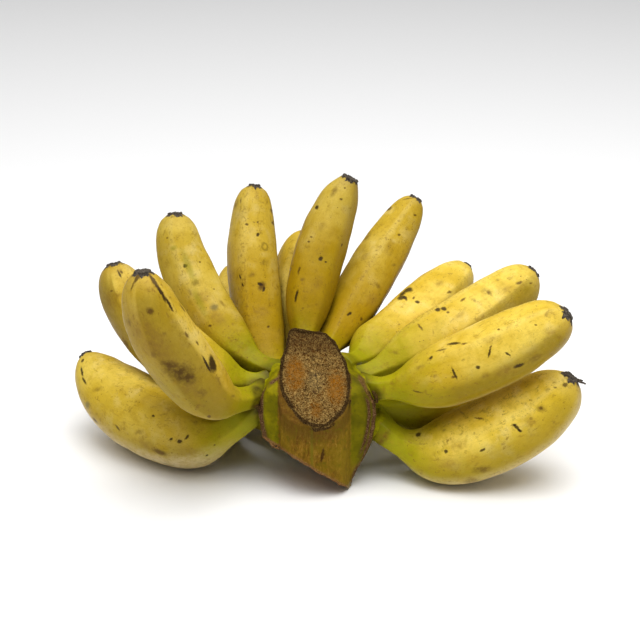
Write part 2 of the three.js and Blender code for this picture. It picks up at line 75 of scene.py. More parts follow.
# spots, scratches and bruises: along the finger in millimetres, around it in
# degrees, half length, half width, slant in degrees, kind
MARKS = {
    "finger_left_low": [
        (122.1, -75.7, 1.17, 1.04, 9, "dark"), (115.4, -87.1, 3.5, 0.82, 3, "dark"),
        (109.2, -89.8, 3.02, 0.72, -6, "dark"), (98.2, -113.6, 1.82, 2.45, 29, "grey"),
        (90.6, -126.0, 2.09, 1.21, -180, "line"), (73.8, -107.9, 1.95, 0.64, -159, "line"),
        (54.6, -65.1, 0.98, 0.63, 176, "dark"), (40.8, -91.5, 0.93, 0.51, 144, "dark"),
        (36.4, -94.8, 1.17, 0.91, 167, "dark"), (32.8, -86.7, 1.57, 0.63, 129, "dark"),
        (46.7, -117.7, 4.02, 1.43, -174, "brown"), (27.8, -147.1, 0.57, 0.62, -126, "dark"),
        (59.6, -96.1, 2.97, 1.24, 151, "smudge"), (97.0, -76.5, 3.21, 1.39, 140, "smudge"),
        (46.3, -154.1, 2.86, 2.43, -172, "smudge"), (54.6, -112.4, 7.61, 3.22, -171, "wash"),
        (29.0, -52.1, 1.54, 1.23, 166, "smudge"), (22.2, -128.3, 0.57, 0.49, -139, "brown"),
        (70.1, -152.1, 2.27, 1.46, 129, "brown"), (32.9, -119.4, 5.71, 2.84, -147, "wash"),
    ],
    "finger_left_front": [
        (109.2, -154.6, 3.57, 0.77, 24, "split"), (105.8, -168.8, 1.9, 0.48, 16, "line"),
        (108.4, -91.1, 4.29, 0.6, -164, "brown"), (105.8, -89.8, 5.24, 0.73, -177, "split"),
        (100.2, -87.2, 4.76, 0.62, 177, "split"), (94.8, -82.1, 4.29, 0.53, 175, "split"),
        (95.5, -126.5, 1.62, 1.52, 104, "brown"), (84.1, -116.5, 1.43, 1.14, 118, "smudge"),
        (77.8, -151.8, 2.44, 2.2, 102, "smudge"), (66.3, -132.3, 8.1, 4.91, 144, "wash"),
        (64.8, -131.4, 6.19, 3.85, 139, "stain"), (70.2, -137.7, 3.33, 1.67, 140, "stain"),
        (57.8, -122.6, 3.15, 2.01, 159, "bruise"), (54.4, -134.2, 5.82, 4.65, 147, "wash"),
        (47.6, -122.7, 2.95, 2.36, 133, "smudge"), (54.7, -69.7, 4.24, 2.36, -155, "split"),
        (58.0, -81.7, 5.01, 0.51, -174, "split"), (46.7, -80.8, 2.08, 1.07, -174, "smudge"),
        (43.4, -83.0, 1.65, 0.73, 179, "smudge"), (87.0, -42.5, 3.03, 1.3, 178, "line"),
        (77.5, -81.9, 1.85, 0.64, 179, "brown"), (29.1, -79.0, 2.06, 0.75, 162, "smudge"),
        (33.2, -149.0, 0.76, 1.21, 133, "brown"), (91.8, 171.4, 1.79, 1.34, 39, "smudge"),
        (89.1, -158.9, 8.57, 6.99, 161, "wash"), (78.8, -137.6, 9.52, 5.99, 174, "wash"),
        (70.1, -73.4, 1.44, 0.69, 180, "brown"), (60.5, -128.0, 4.6, 3.2, 142, "stain"),
    ],
    "finger_left_outer": [
        (114.9, -45.1, 2.64, 0.6, 177, "dark"), (107.3, -80.6, 0.75, 0.48, 112, "brown"),
        (81.1, -127.8, 3.56, 3.57, -155, "bruise"), (102.9, -88.8, 5.59, 5.3, 168, "wash"),
        (115.7, -36.7, 1.25, 0.69, 178, "brown"),
    ],
    "finger_left_high": [
        (76.1, -53.2, 1.15, 1.09, 113, "dark"), (64.8, -46.1, 2.62, 1.92, 116, "smudge"),
        (47.7, -35.6, 2.26, 1.98, 98, "grey"), (40.0, -66.3, 0.88, 0.65, 129, "brown"),
        (88.0, -65.7, 1.87, 1.25, 84, "green"), (61.8, -65.8, 2.21, 0.85, 177, "smudge"),
        (55.9, -46.3, 3.91, 2.65, 160, "wash"), (41.5, -43.9, 5.19, 3.23, 165, "wash"),
        (94.1, -78.5, 0.72, 0.48, 99, "brown"), (75.6, -17.8, 0.6, 0.51, 106, "brown"),
        (57.6, -15.4, 0.61, 0.51, 108, "brown"), (48.1, -15.1, 2.33, 0.95, 175, "smudge"),
        (75.0, -47.0, 10.0, 1.9, 0, "green"), (54.0, -58.0, 9.0, 1.8, 4, "green"),
    ],
    "finger_rear_left": [
        (94.5, -18.1, 1.31, 0.78, 34, "dark"), (87.5, -1.5, 2.36, 2.77, 88, "ring"),
        (64.2, -17.3, 2.71, 1.87, 33, "brown"), (65.4, -21.3, 1.63, 0.82, 115, "dark"),
        (62.4, -13.5, 1.8, 0.66, 24, "dark"), (70.8, -63.0, 1.53, 0.56, 163, "dark"),
        (66.0, -58.3, 1.17, 0.53, 165, "dark"), (78.4, -53.1, 1.06, 0.74, 98, "smudge"),
        (112.2, -100.8, 3.2, 2.59, 54, "smudge"), (114.1, -75.4, 1.9, 0.56, -19, "line"),
        (100.6, -45.3, 0.9, 0.7, 91, "brown"), (102.0, -27.2, 0.76, 0.59, 89, "smudge"),
        (109.3, 40.7, 1.6, 1.46, 156, "brown"), (102.2, 37.2, 1.27, 1.42, 179, "brown"),
        (39.2, -14.0, 0.67, 0.82, 97, "brown"), (78.3, -5.6, 2.14, 1.55, 89, "smudge"),
        (71.0, -37.0, 1.72, 1.28, 75, "smudge"), (49.0, -24.1, 4.31, 3.04, 97, "wash"),
        (102.1, -16.7, 0.56, 0.48, 88, "brown"),
    ],
    "finger_rear_centre": [
        (89.0, -83.4, 1.08, 1.71, 18, "dark"), (98.7, -23.0, 0.76, 0.57, 64, "brown"),
        (61.0, -21.5, 1.45, 1.01, 13, "dark"), (59.9, -8.8, 0.69, 0.53, 70, "dark"),
        (73.3, 20.3, 0.9, 0.76, 18, "brown"), (71.9, -58.0, 0.8, 0.6, 78, "brown"),
        (68.8, -58.8, 0.81, 0.6, 80, "brown"), (65.8, -58.6, 1.24, 0.95, 80, "smudge"),
        (51.4, -62.8, 2.2, 0.67, -3, "brown"), (46.6, -51.2, 1.38, 1.18, 85, "smudge"),
        (36.6, -60.0, 3.63, 0.75, 10, "dark"), (100.7, -57.2, 3.58, 1.64, -10, "smudge"),
        (79.8, -41.6, 2.94, 1.69, 8, "wash"), (103.3, -114.8, 0.67, 0.38, -1, "brown"),
        (105.4, -27.7, 0.53, 0.43, 63, "brown"), (57.8, -36.2, 0.54, 0.48, 76, "smudge"),
        (46.3, -13.9, 4.25, 2.7, 15, "wash"),
    ],
    "finger_rear_right": [
        (116.9, -80.8, 2.84, 1.78, 91, "brown"), (120.8, 26.3, 1.1, 0.64, 58, "brown"),
        (94.6, -73.0, 3.89, 2.59, -9, "smudge"), (102.8, 9.6, 0.99, 0.74, 49, "brown"),
        (84.1, 36.0, 1.52, 0.8, 48, "smudge"), (66.0, 27.8, 2.72, 1.33, 93, "smudge"),
        (39.4, 2.8, 1.77, 0.77, 20, "dark"), (42.5, 40.2, 1.1, 0.92, -10, "brown"),
        (79.2, -36.1, 2.53, 2.22, 9, "wash"), (127.4, -41.2, 2.71, 0.51, 40, "line"),
        (91.8, 4.9, 5.59, 2.82, 0, "wash"), (56.4, 33.6, 4.89, 2.74, 7, "wash"),
    ],
    "finger_right_rear": [
        (68.6, -39.6, 2.61, 2.85, 6, "dark"), (64.4, -42.5, 2.86, 1.96, -22, "dark"),
        (60.5, -35.2, 2.08, 2.03, 78, "dark"), (61.6, -28.0, 2.42, 0.96, 120, "dark"),
        (64.6, -14.4, 1.23, 0.62, -15, "brown"), (63.6, -1.9, 1.31, 1.11, 70, "dark"),
        (83.8, 28.2, 1.92, 0.78, 20, "brown"), (64.4, 29.8, 0.81, 0.52, 34, "smudge"),
        (56.3, 25.4, 5.62, 2.16, 5, "wash"), (84.1, 0.6, 4.17, 1.94, 9, "wash"),
    ],
    "finger_right_high": [
        (55.9, 0.2, 1.74, 1.31, 62, "dark"), (52.9, -5.5, 1.49, 1.49, 2, "dark"),
        (56.2, 12.1, 0.87, 0.84, 40, "brown"), (81.5, 18.3, 3.08, 2.23, 69, "smudge"),
        (81.7, 23.4, 1.64, 1.01, 72, "bruise"), (91.3, 7.0, 1.09, 1.06, 42, "smudge"),
        (96.9, 21.8, 1.38, 1.11, 35, "smudge"), (98.8, 44.9, 2.01, 0.81, 17, "brown"),
        (67.9, 4.8, 1.79, 0.75, -9, "brown"), (72.4, 19.8, 2.54, 1.14, 67, "smudge"),
        (38.5, 7.6, 2.39, 0.63, 94, "brown"), (20.3, 21.9, 2.05, 0.78, 63, "smudge"),
        (60.3, 30.5, 4.55, 1.64, -3, "wash"), (89.6, 38.5, 5.22, 2.21, 14, "wash"),
        (103.9, 65.9, 1.07, 0.51, 43, "brown"),
    ],
    "finger_right_mid": [
        (37.3, 35.3, 1.26, 1.03, -33, "dark"), (43.6, 26.8, 2.9, 0.59, 16, "line"),
        (50.9, 25.0, 3.94, 0.87, 27, "dark"), (56.4, 35.6, 2.02, 0.61, 22, "brown"),
        (46.4, 76.2, 3.11, 0.61, 90, "dark"), (45.4, 81.2, 1.21, 0.69, 1, "brown"),
        (58.4, 82.4, 1.01, 0.8, 34, "dark"), (66.6, 68.5, 2.24, 0.64, -48, "dark"),
        (68.5, 60.5, 0.98, 0.5, -35, "brown"), (74.4, 84.0, 1.63, 0.54, 61, "dark"),
        (75.9, 112.3, 2.48, 0.85, 13, "dark"), (59.9, 101.8, 1.96, 1.63, -7, "smudge"),
        (99.6, 50.2, 1.56, 0.86, -43, "smudge"), (70.5, 50.6, 4.57, 2.11, 11, "wash"),
        (82.2, 32.5, 5.0, 1.99, 6, "speck"), (93.6, 34.0, 2.86, 1.7, -2, "speck"),
        (84.2, 54.8, 2.56, 1.46, 77, "speck"), (30.2, 44.1, 2.91, 1.18, 4, "smudge"),
        (36.6, 68.6, 1.28, 0.88, 18, "smudge"), (96.7, 90.4, 2.86, 1.43, 29, "wash"),
        (24.8, 90.0, 2.51, 0.45, 18, "line"), (53.1, 61.0, 1.11, 0.5, -6, "smudge"),
        (75.6, 38.8, 0.86, 0.57, 28, "brown"), (92.9, 61.7, 0.67, 0.5, 28, "brown"),
        (68.8, 109.8, 4.76, 2.38, 3, "wash"), (84.1, 117.1, 3.33, 1.54, 0, "smudge"),
    ],
    "finger_right_low": [
        (108.0, 72.2, 1.19, 0.9, 56, "dark"), (76.4, 73.8, 2.56, 0.77, 80, "dark"),
        (76.1, 68.2, 1.02, 0.75, 29, "dark"), (76.8, 79.8, 1.09, 0.61, 53, "dark"),
        (17.2, 15.0, 1.65, 1.82, -9, "dark"), (60.2, 35.1, 2.75, 0.61, 32, "brown"),
        (55.4, 80.0, 1.56, 0.61, -9, "dark"), (36.2, 65.7, 1.25, 0.9, 9, "dark"),
        (92.3, 70.6, 2.47, 1.71, 39, "smudge"), (92.4, 70.0, 0.98, 0.8, 39, "brown"),
        (50.7, 110.7, 4.54, 2.2, 17, "bruise"), (43.7, 128.5, 2.89, 2.77, 61, "bruise"),
        (51.5, 9.7, 3.37, 0.62, 65, "smudge"), (37.4, 30.1, 1.55, 0.95, 17, "smudge"),
        (64.8, 28.6, 1.35, 0.84, 27, "smudge"), (28.4, 152.5, 1.24, 0.67, -1, "brown"),
        (44.1, 61.5, 5.16, 2.5, 7, "wash"), (36.9, 85.9, 4.14, 2.75, 6, "wash"),
        (101.2, 51.0, 1.24, 0.75, 17, "smudge"), (104.6, 58.9, 0.67, 0.5, 46, "brown"),
        (65.9, 85.1, 1.01, 0.63, 6, "smudge"), (20.0, 50.5, 4.57, 0.44, -5, "smudge"),
        (80.2, 22.5, 5.4, 2.8, 8, "speck"), (58.1, 2.5, 4.64, 3.74, -11, "speck"),
        (83.8, 76.1, 4.46, 2.54, 45, "wash"), (0.9, 101.5, 6.37, 1.51, -90, "bruise"),
    ],
}


def hermite(xs, ys):
    """Monotone cubic through the knots."""
    xs, ys = np.array(xs, float), np.array(ys, float)
    h = np.diff(xs)
    d = np.diff(ys) / h
    m = np.zeros(len(xs))
    for i in range(1, len(xs) - 1):
        if d[i - 1] * d[i] > 0:
            w1, w2 = 2 * h[i] + h[i - 1], h[i] + 2 * h[i - 1]
            m[i] = (w1 + w2) / (w1 / d[i - 1] + w2 / d[i])
    m[0], m[-1] = d[0], d[-1]

    def at(x):
        c = np.clip(np.asarray(x, float), xs[0], xs[-1])
        i = np.clip(np.searchsorted(xs, c, side="right") - 1, 0, len(xs) - 2)
        t = (c - xs[i]) / h[i]
        t2, t3 = t * t, t * t * t
        return ((2 * t3 - 3 * t2 + 1) * ys[i] + (t3 - 2 * t2 + t) * h[i] * m[i]
                + (-2 * t3 + 3 * t2) * ys[i + 1] + (t3 - t2) * h[i] * m[i + 1])
    return at


SWELL = hermite([0, 0.05, 0.10, 0.15, 0.20, 0.27, 0.36, 0.48, 0.60, 1.0],
                [0.0001, 0.0001, 0.04, 0.20, 0.46, 0.74, 0.92, 0.99, 1.0, 1.0])
TAPER = hermite([0, 0.60, 0.72, 0.82, 0.90, 0.95, 0.98, 1.0],
                [1, 1, 0.955, 0.84, 0.655, 0.43, 0.21, 0.0001])


def smooth(a, b, x):
    s = np.clip((np.asarray(x, float) - a) / (b - a), 0, 1)
    return s * s * (3 - 2 * s)


class Finger:
    """Centre line and thickness of one finger, the same as its solid's."""

    def __init__(self, row):
        (self.name, x, y, z, heading, rise, self.turn, self.base_turn, self.tip_turn, roll,
         self.length, self.radius, self.shoulder, self.tip, self.ridges) = row
        self.neck = NECK_R_LOW if self.name.endswith("_low") else NECK_R
        a, e, ro = math.radians(heading), math.radians(rise), math.radians(roll)
        out = np.array([math.cos(a) * math.cos(e), math.sin(a) * math.cos(e), math.sin(e)])
        side = np.array([-math.sin(a), math.cos(a), 0.0])
        up = np.cross(out, side)
        if up[2] < 0:
            up = -up
        self.out, self.up = out, math.cos(ro) * up + math.sin(ro) * side
        self.across = np.cross(out, self.up)
        self.across /= np.linalg.norm(self.across)
        t = np.linspace(0, 1, STEPS)
        d = self.along(t)
        seg = 0.5 * (d[1:] + d[:-1]) * self.length / (STEPS - 1)
        self.stations = np.vstack([[0, 0, 0], np.cumsum(seg, 0)]) + np.array([x, y, z]) + SHIFT

    def along(self, t):
        th = np.radians(self.turn * np.asarray(t) + self.base_turn * smooth(0.03, 0.42, t)
                        + self.tip_turn * smooth(0.68, 1.0, t))
        return np.cos(th)[..., None] * self.out + np.sin(th)[..., None] * self.up

    def at(self, s):
        s = np.asarray(s, float)
        f = s / self.length * (STEPS - 1)
        k = np.arange(STEPS)
        base = np.stack([np.interp(f, k, self.stations[:, i]) for i in range(3)], -1)
        base = base + np.minimum(s, 0)[..., None] * self.along(0.0)
        return base + np.maximum(s - self.length, 0)[..., None] * self.along(1.0)

    def frame(self, s):
        t = self.along(np.clip(np.asarray(s, float) / self.length, 0, 1))
        return t, np.cross(self.across, t)

    def thickness(self, s):
        t = np.clip(np.asarray(s, float) / self.length, 0, 1)
        return np.where(t < 0.6, self.neck + (self.radius - self.neck) * SWELL(t) ** self.shoulder,
                        TIP_R + (self.radius - TIP_R) * np.maximum(TAPER(t), 0) ** self.tip)


# ---------------------------------------------------------------------------
# Mesh helpers
# ---------------------------------------------------------------------------
def new_piece(name, verts, faces, material=None, smooth_faces=True):
    me = bpy.data.meshes.new(name)
    me.from_pydata([tuple(v) for v in np.asarray(verts, float) * MM], [], [tuple(int(i) for i in f) for f in faces])
    me.update()
    if smooth_faces:
        me.polygons.foreach_set("use_smooth", [True] * len(me.polygons))
    ob = bpy.data.objects.new(name, me)
    bpy.context.scene.collection.objects.link(ob)
    if material is not None:
        me.materials.append(material)
    return ob


def put_vector(ob, name, values):
    a = ob.data.attributes.new(name, "FLOAT_VECTOR", "POINT")
    a.data.foreach_set("vector", np.asarray(values, np.float32).ravel())


def put_value(ob, name, values):
    a = ob.data.attributes.new(name, "FLOAT", "POINT")
    a.data.foreach_set("value", np.asarray(values, np.float32).ravel())


def co_of(ob):
    n = len(ob.data.vertices)
    c = np.empty(n * 3)
    ob.data.vertices.foreach_get("co", c)
    return c.reshape(-1, 3) / MM


def wave(rng, freqs, amps):
    """A sum of a few sines with fixed phases: a smooth function of an angle or a length."""
    ph = rng.uniform(0, 2 * np.pi, len(freqs))

    def f(x):
        return sum(a * np.sin(k * x + p) for k, a, p in zip(freqs, amps, ph))
    return f


# ---------------------------------------------------------------------------
# Node helpers
# ---------------------------------------------------------------------------
class Shader:
    def __init__(self, name, roughness=0.5, specular=0.5):
        m = bpy.data.materials.new(name)
        m.use_nodes = True
        self.m, self.t = m, m.node_tree
        self.t.nodes.clear()
        self.out = self.t.nodes.new("ShaderNodeOutputMaterial")
        self.b = self.t.nodes.new("ShaderNodeBsdfPrincipled")
        self.b.inputs["Roughness"].default_value = roughness
        self.b.inputs["Specular IOR Level"].default_value = specular
        self.t.links.new(self.b.outputs[0], self.out.inputs[0])

    def link(self, value, socket):
        if value is None:
            return
        if isinstance(value, (int, float)):
            socket.default_value = value
        elif isinstance(value, (tuple, list)):
            v = tuple(value)
            if len(socket.default_value) == 4 and len(v) == 3:
                v = v + (1.0,)
            socket.default_value = v
        else:
            self.t.links.new(value, socket)

    def attr(self, name, what="Vector"):
        n = self.t.nodes.new("ShaderNodeAttribute")
        n.attribute_name = name
        return n.outputs[what]

    def math(self, op, a, b=None, c=None, clamp=False):
        n = self.t.nodes.new("ShaderNodeMath")
        n.operation, n.use_clamp = op, clamp
        for v, s in zip((a, b, c), n.inputs):
            self.link(v, s)
        return n.outputs[0]

    def vec(self, op, a, b=None, scale=None):
        n = self.t.nodes.new("ShaderNodeVectorMath")
        n.operation = op
        self.link(a, n.inputs[0])
        if b is not None:
            self.link(b, n.inputs[1])
        if scale is not None:
            self.link(scale, n.inputs["Scale"])
        return n.outputs["Value"] if op in ("LENGTH", "DISTANCE", "DOT_PRODUCT") else n.outputs["Vector"]

    def noise(self, vector, scale, detail=3.0, rough=0.5, distortion=0.0, colour=False):
        n = self.t.nodes.new("ShaderNodeTexNoise")
        self.link(vector, n.inputs["Vector"])
        n.inputs["Scale"].default_value = scale
        n.inputs["Detail"].default_value = detail
        n.inputs["Roughness"].default_value = rough
        n.inputs["Distortion"].default_value = distortion
        return n.outputs["Color"] if colour else n.outputs["Fac"]

    def voronoi(self, vector, scale, feature="F1", randomness=1.0, out="Distance", smoothness=None):
        n = self.t.nodes.new("ShaderNodeTexVoronoi")
        n.feature = feature
        self.link(vector, n.inputs["Vector"])
        n.inputs["Scale"].default_value = scale
        n.inputs["Randomness"].default_value = randomness
        if smoothness is not None:
            n.inputs["Smoothness"].default_value = smoothness
        return n.outputs[out]

    def map(self, v, a, b, c=0.0, d=1.0, smooth_it=True):
        n = self.t.nodes.new("ShaderNodeMapRange")
        n.interpolation_type = "SMOOTHSTEP" if smooth_it else "LINEAR"
        n.clamp = True
        self.link(v, n.inputs["Value"])
        for k, x in zip(("From Min", "From Max", "To Min", "To Max"), (a, b, c, d)):
            self.link(x, n.inputs[k])
        return n.outputs["Result"]

    def mix(self, fac, a, b, blend="MIX"):
        n = self.t.nodes.new("ShaderNodeMix")
        n.data_type, n.blend_type, n.clamp_factor = "RGBA", blend, True
        self.link(fac, n.inputs["Factor"])
        self.link(a, n.inputs["A"] if False else n.inputs[6])
        self.link(b, n.inputs[7])
        return n.outputs[2]

    def ramp(self, fac, stops):
        n = self.t.nodes.new("ShaderNodeValToRGB")
        self.link(fac, n.inputs[0])
        e = n.color_ramp.elements
        while len(e) < len(stops):
            e.new(0.5)
        for el, (p, c) in zip(e, stops):
            el.position = p
            el.color = tuple(c) + (1.0,)
        return n.outputs["Color"]

    def bump(self, height, strength, distance, normal=None):
        n = self.t.nodes.new("ShaderNodeBump")
        n.inputs["Strength"].default_value = strength
        n.inputs["Distance"].default_value = distance
        self.link(height, n.inputs["Height"])
        if normal is not None:
            self.link(normal, n.inputs["Normal"])
        return n.outputs["Normal"]

    def colour(self, v):
        self.link(v, self.b.inputs["Base Color"])

    def rough(self, v):
        self.link(v, self.b.inputs["Roughness"])

    def normal(self, v):
        self.link(v, self.b.inputs["Normal"])


def srgb(r, g, b):
    def f(c):
        c /= 255.0
        return c / 12.92 if c <= 0.04045 else ((c + 0.055) / 1.055) ** 2.4
    return (f(r), f(g), f(b))


# ---------------------------------------------------------------------------
# Fingers
# ---------------------------------------------------------------------------
AROUND = 88

# how far a finger narrows at the dried end, the place of its ridges, their height, a local swell, how keen the first
# ridge is; painted shade on the facets past a ridge and how soft its border is; how strong the painted shade in the
# creases is; a pale bloom that partly stands for light bounced up from the floor
LOOKS = {
    "finger_rear_left": dict(tip=0.68, ridge_at=[-57, 38, 104, 170, -128], deep=(38, 100, 0.35)),
    "finger_rear_centre": dict(tip=0.98),
    "finger_rear_right": dict(tip=0.80, swell=(42.0, 14.0, 110.0, 1.7), deep=(58, 130, 0.30)),
    "finger_right_rear": dict(tip=0.72, swell=(25.0, 13.0, -70.0, 3.6), deep=(31, 120, 0.35)),
    "finger_right_high": dict(tip=0.85, deep=(52, 150, 0.95), keen=1.5),
    "finger_right_mid": dict(tip=0.80, deep=(98, 190, 1.0), keen=1.3, blur=0.16),
    "finger_right_low": dict(tip=0.84, ridge=0.9, dust=(128, 215, 0.55), gap=0.3, deep=(78, 128, 0.55), blur=0.30),
    "finger_right_under": dict(gap=0.30),
    "finger_left_high": dict(tip=0.80),
    "finger_left_front": dict(tip=0.85, deep=(-152, -84, 0.85), keen=1.3),
    "finger_left_outer": dict(tip=0.85, deep=(-190, -72, 0.9)),
    "finger_left_low": dict(tip=0.80, dust=(-215, -124, 0.95), deep=(-124, -30, 0.25)),
}


def fullness(f, s):
    """Radius of the finger as it is seen: a rounder dome that pulls in only at the very end."""
    k = LOOKS.get(f.name, {}).get("tip", 0.85)
    back = f.length - np.asarray(s, float)
    r = f.thickness(s) + (0.35 + 1.6 * (1 - k)) * np.exp(-((back - 5.5) / 5.0) ** 2) + 0.5 * np.exp(-((back - 12.0) / 6.0) ** 2)
    return r * (1 - (1 - k) * smooth(f.length - 3.4, f.length - 0.2, s)) - 0.5 * smooth(f.length - 1.6, f.length, s)


def ridge_height(phi, centres, amps, width):
    h = np.zeros_like(phi)
    for c, a in zip(centres, amps):
        d = (phi - c + np.pi) % (2 * np.pi) - np.pi
        h = h + a * np.exp(-(np.sqrt(d * d + 0.09 ** 2) - 0.09) / width)
    return h


def sector(phi, first, last, blur=0.05):
    """1 between two directions (degrees), with a border as soft as is asked for."""
    mid, half = math.radians((first + last) / 2), math.radians((last - first) / 2)
    d = np.abs((phi - mid + np.pi) % (2 * np.pi) - np.pi)
    return 1 - smooth(half - blur, half + blur, d)


def crease(co, f, index, lines, s):
    """How far into the crease between neighbours each point lies, 0 to 1: it sets the painted shade there."""
    out = np.zeros(len(co))
    for i, (c, r) in enumerate(lines):
        if i == index:
            continue
        near = np.abs(co[:, None, :] - c[None, ::6, :]).max(2).min(1) < 34
        if not near.any():
            continue
        d = np.sqrt(((co[near][:, None, :] - c[None]) ** 2).sum(2)) - r[None]
        reach = 4.0 + 1.6 * (1 - smooth(8.0, 32.0, s[near]))
        out[near] = np.maximum(out[near], 1 - smooth(0.0, 1.0, d.min(1) / reach))
    return out


def finger_piece(f, index, material, lines):
    rng = np.random.default_rng(100 + index)
    look = LOOKS.get(f.name, {})
    if "ridge_at" in look:
        centres = np.radians(look["ridge_at"])
    else:
        centres = np.radians(f.ridges + 72.0 * np.arange(5) + rng.normal(0, 3.5, 5))
    amps = rng.uniform(0.75, 1.15, 5)
    amps[0] *= look.get("keen", 1.15)
    L = f.length
    s = np.unique(np.concatenate([
        np.linspace(-8.0, 26, 44), np.linspace(26, L * 0.85, 62), np.linspace(L * 0.85, L - 3.4, 26),
        L - 3.4 + 3.3 * np.sin(np.linspace(0.05, 1, 12) * np.pi / 2)]))
    phi = np.linspace(0, 2 * np.pi, AROUND, endpoint=False)
    S, P = np.meshgrid(s, phi, indexing="ij")
    t = S / L
    # ridges: sharp on the neck, soft along the body, meeting at the flower end
    amp = 0.10 * (1 - smooth(0.08, 0.30, t)) + 0.070 + 0.010 * smooth(0.70, 0.93, t)
    drift = 0.05 * np.sin(2.2 * t * 3 + index)
    width = 0.30
    rh = ridge_height(P + drift, centres, amps, width)
    mean = ridge_height(np.linspace(0, 2 * np.pi, 400), centres, amps, width).mean()
    r = fullness(f, S) * (1 + amp * look.get("ridge", 1.0) * (rh - mean))
    wl, wa = wave(rng, [0.05, 0.11, 0.19], [0.26, 0.14, 0.08]), wave(rng, [1, 2, 3], [0.16, 0.16, 0.10])
    wb = wave(rng, [0.31, 0.47], [0.06, 0.05])
    fade = smooth(0.12, 0.3, t) * (1 - smooth(0.9, 1.0, t))
    r = r + fade * (wl(S) * np.sin(P + index) + wa(P + 0.02 * S) + wb(S + 6 * np.sin(P)))
    if "swell" in look:
        s_at, s_w, deg, much = look["swell"]
        d = (P - math.radians(deg) + np.pi) % (2 * np.pi) - np.pi
        r = r + much * np.exp(-((S - s_at) / s_w) ** 2) * np.exp(-(d / 0.95) ** 2)
    tg, nn = f.frame(s)
    c = f.at(s)
    around = np.sin(P)[..., None] * f.across + np.cos(P)[..., None] * nn[:, None, :]
    # the neck widens into the crown, less at the front, and passes behind its rim
    into = 1 - smooth(-8.0, 6.0, S)
    r = r + 2.6 * into * np.clip(0.72 + 0.6 * around[..., 1], 0, 1)
    slip = 3.6 * (1 - smooth(-8.0, 5.0, s)) * (f.stations[0][1] - SHIFT[1] < 5)
    c = c + slip[:, None] * np.array([0.0, 1.0, 0.0])
    co = c[:, None, :] + r[..., None] * around
    n_s = len(s)
    verts = [*co.reshape(-1, 3), c[0] - 0.3 * tg[0], f.at(L - 0.1)]
    i, j = np.meshgrid(np.arange(n_s - 1), np.arange(AROUND), indexing="ij")
    k = (j + 1) % AROUND
    quads = np.stack([i * AROUND + j, i * AROUND + k, (i + 1) * AROUND + k, (i + 1) * AROUND + j], -1).reshape(-1, 4)
    a, b = len(verts) - 2, len(verts) - 1
    faces = [tuple(q) for q in quads]
    for j in range(AROUND):
        k = (j + 1) % AROUND
        faces.append((a, k, j))
        faces.append((b, (n_s - 1) * AROUND + j, (n_s - 1) * AROUND + k))
    ob = new_piece("look_" + f.name, verts, faces, material)
    fco = np.stack([r * np.sin(P), r * np.cos(P), S], -1).reshape(-1, 3)
    fco = np.vstack([fco, [[0, 0, -5.3], [0, 0, L]]])
    put_vector(ob, "fco", fco)
    put_value(ob, "ridge", np.append(np.clip((rh - mean) / 0.6, -1, 1).ravel(), [0, 0]))
    low = -(np.cos(P)[..., None] * nn[:, None, :] + np.sin(P)[..., None] * f.across)[..., 2]
    put_value(ob, "under", np.append(low.ravel(), [0, 0]))
    body = smooth(0.10, 0.26, t) * (1 - smooth(0.90, 0.99, t))
    # painted shade on the facets past a ridge, and a pale bloom that partly stands for light bounced up from the floor
    for name in ("deep", "dust"):
        side = np.zeros_like(P)
        if name in look:
            first, last, much = look[name]
            side = much * sector(P + drift, first, last, look.get("blur", 0.05) if name == "deep" else 0.30) * body
        put_value(ob, name, np.append(side.ravel(), [0, 0]))
    flat = co.reshape(-1, 3)
    # painted shade: darker in the creases between neighbours, where the neck passes into the crown and beside its scabs
    gap = crease(flat, f, index, lines, S.ravel()) * look.get("gap", 1.0)
    near = (S.ravel() < 46)
    pc = crown_parts(flat[near] - SHIFT, [])
    solid_d = np.minimum(np.minimum(pc["body"], np.maximum(pc["stalk"], pc["top"])), pc["lips"])
    gap[near] = np.maximum(gap[near], 0.85 * (1 - smooth(0.0, 3.0, np.maximum(solid_d, pc["low"]))))
    gap[near] = np.maximum(gap[near], 1 - smooth(1.4, 5.0, pc["scabs"]))
    put_value(ob, "gap", np.append(gap, [0, 0]))
    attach(ob, "root")
    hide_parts(f.name)
    return ob


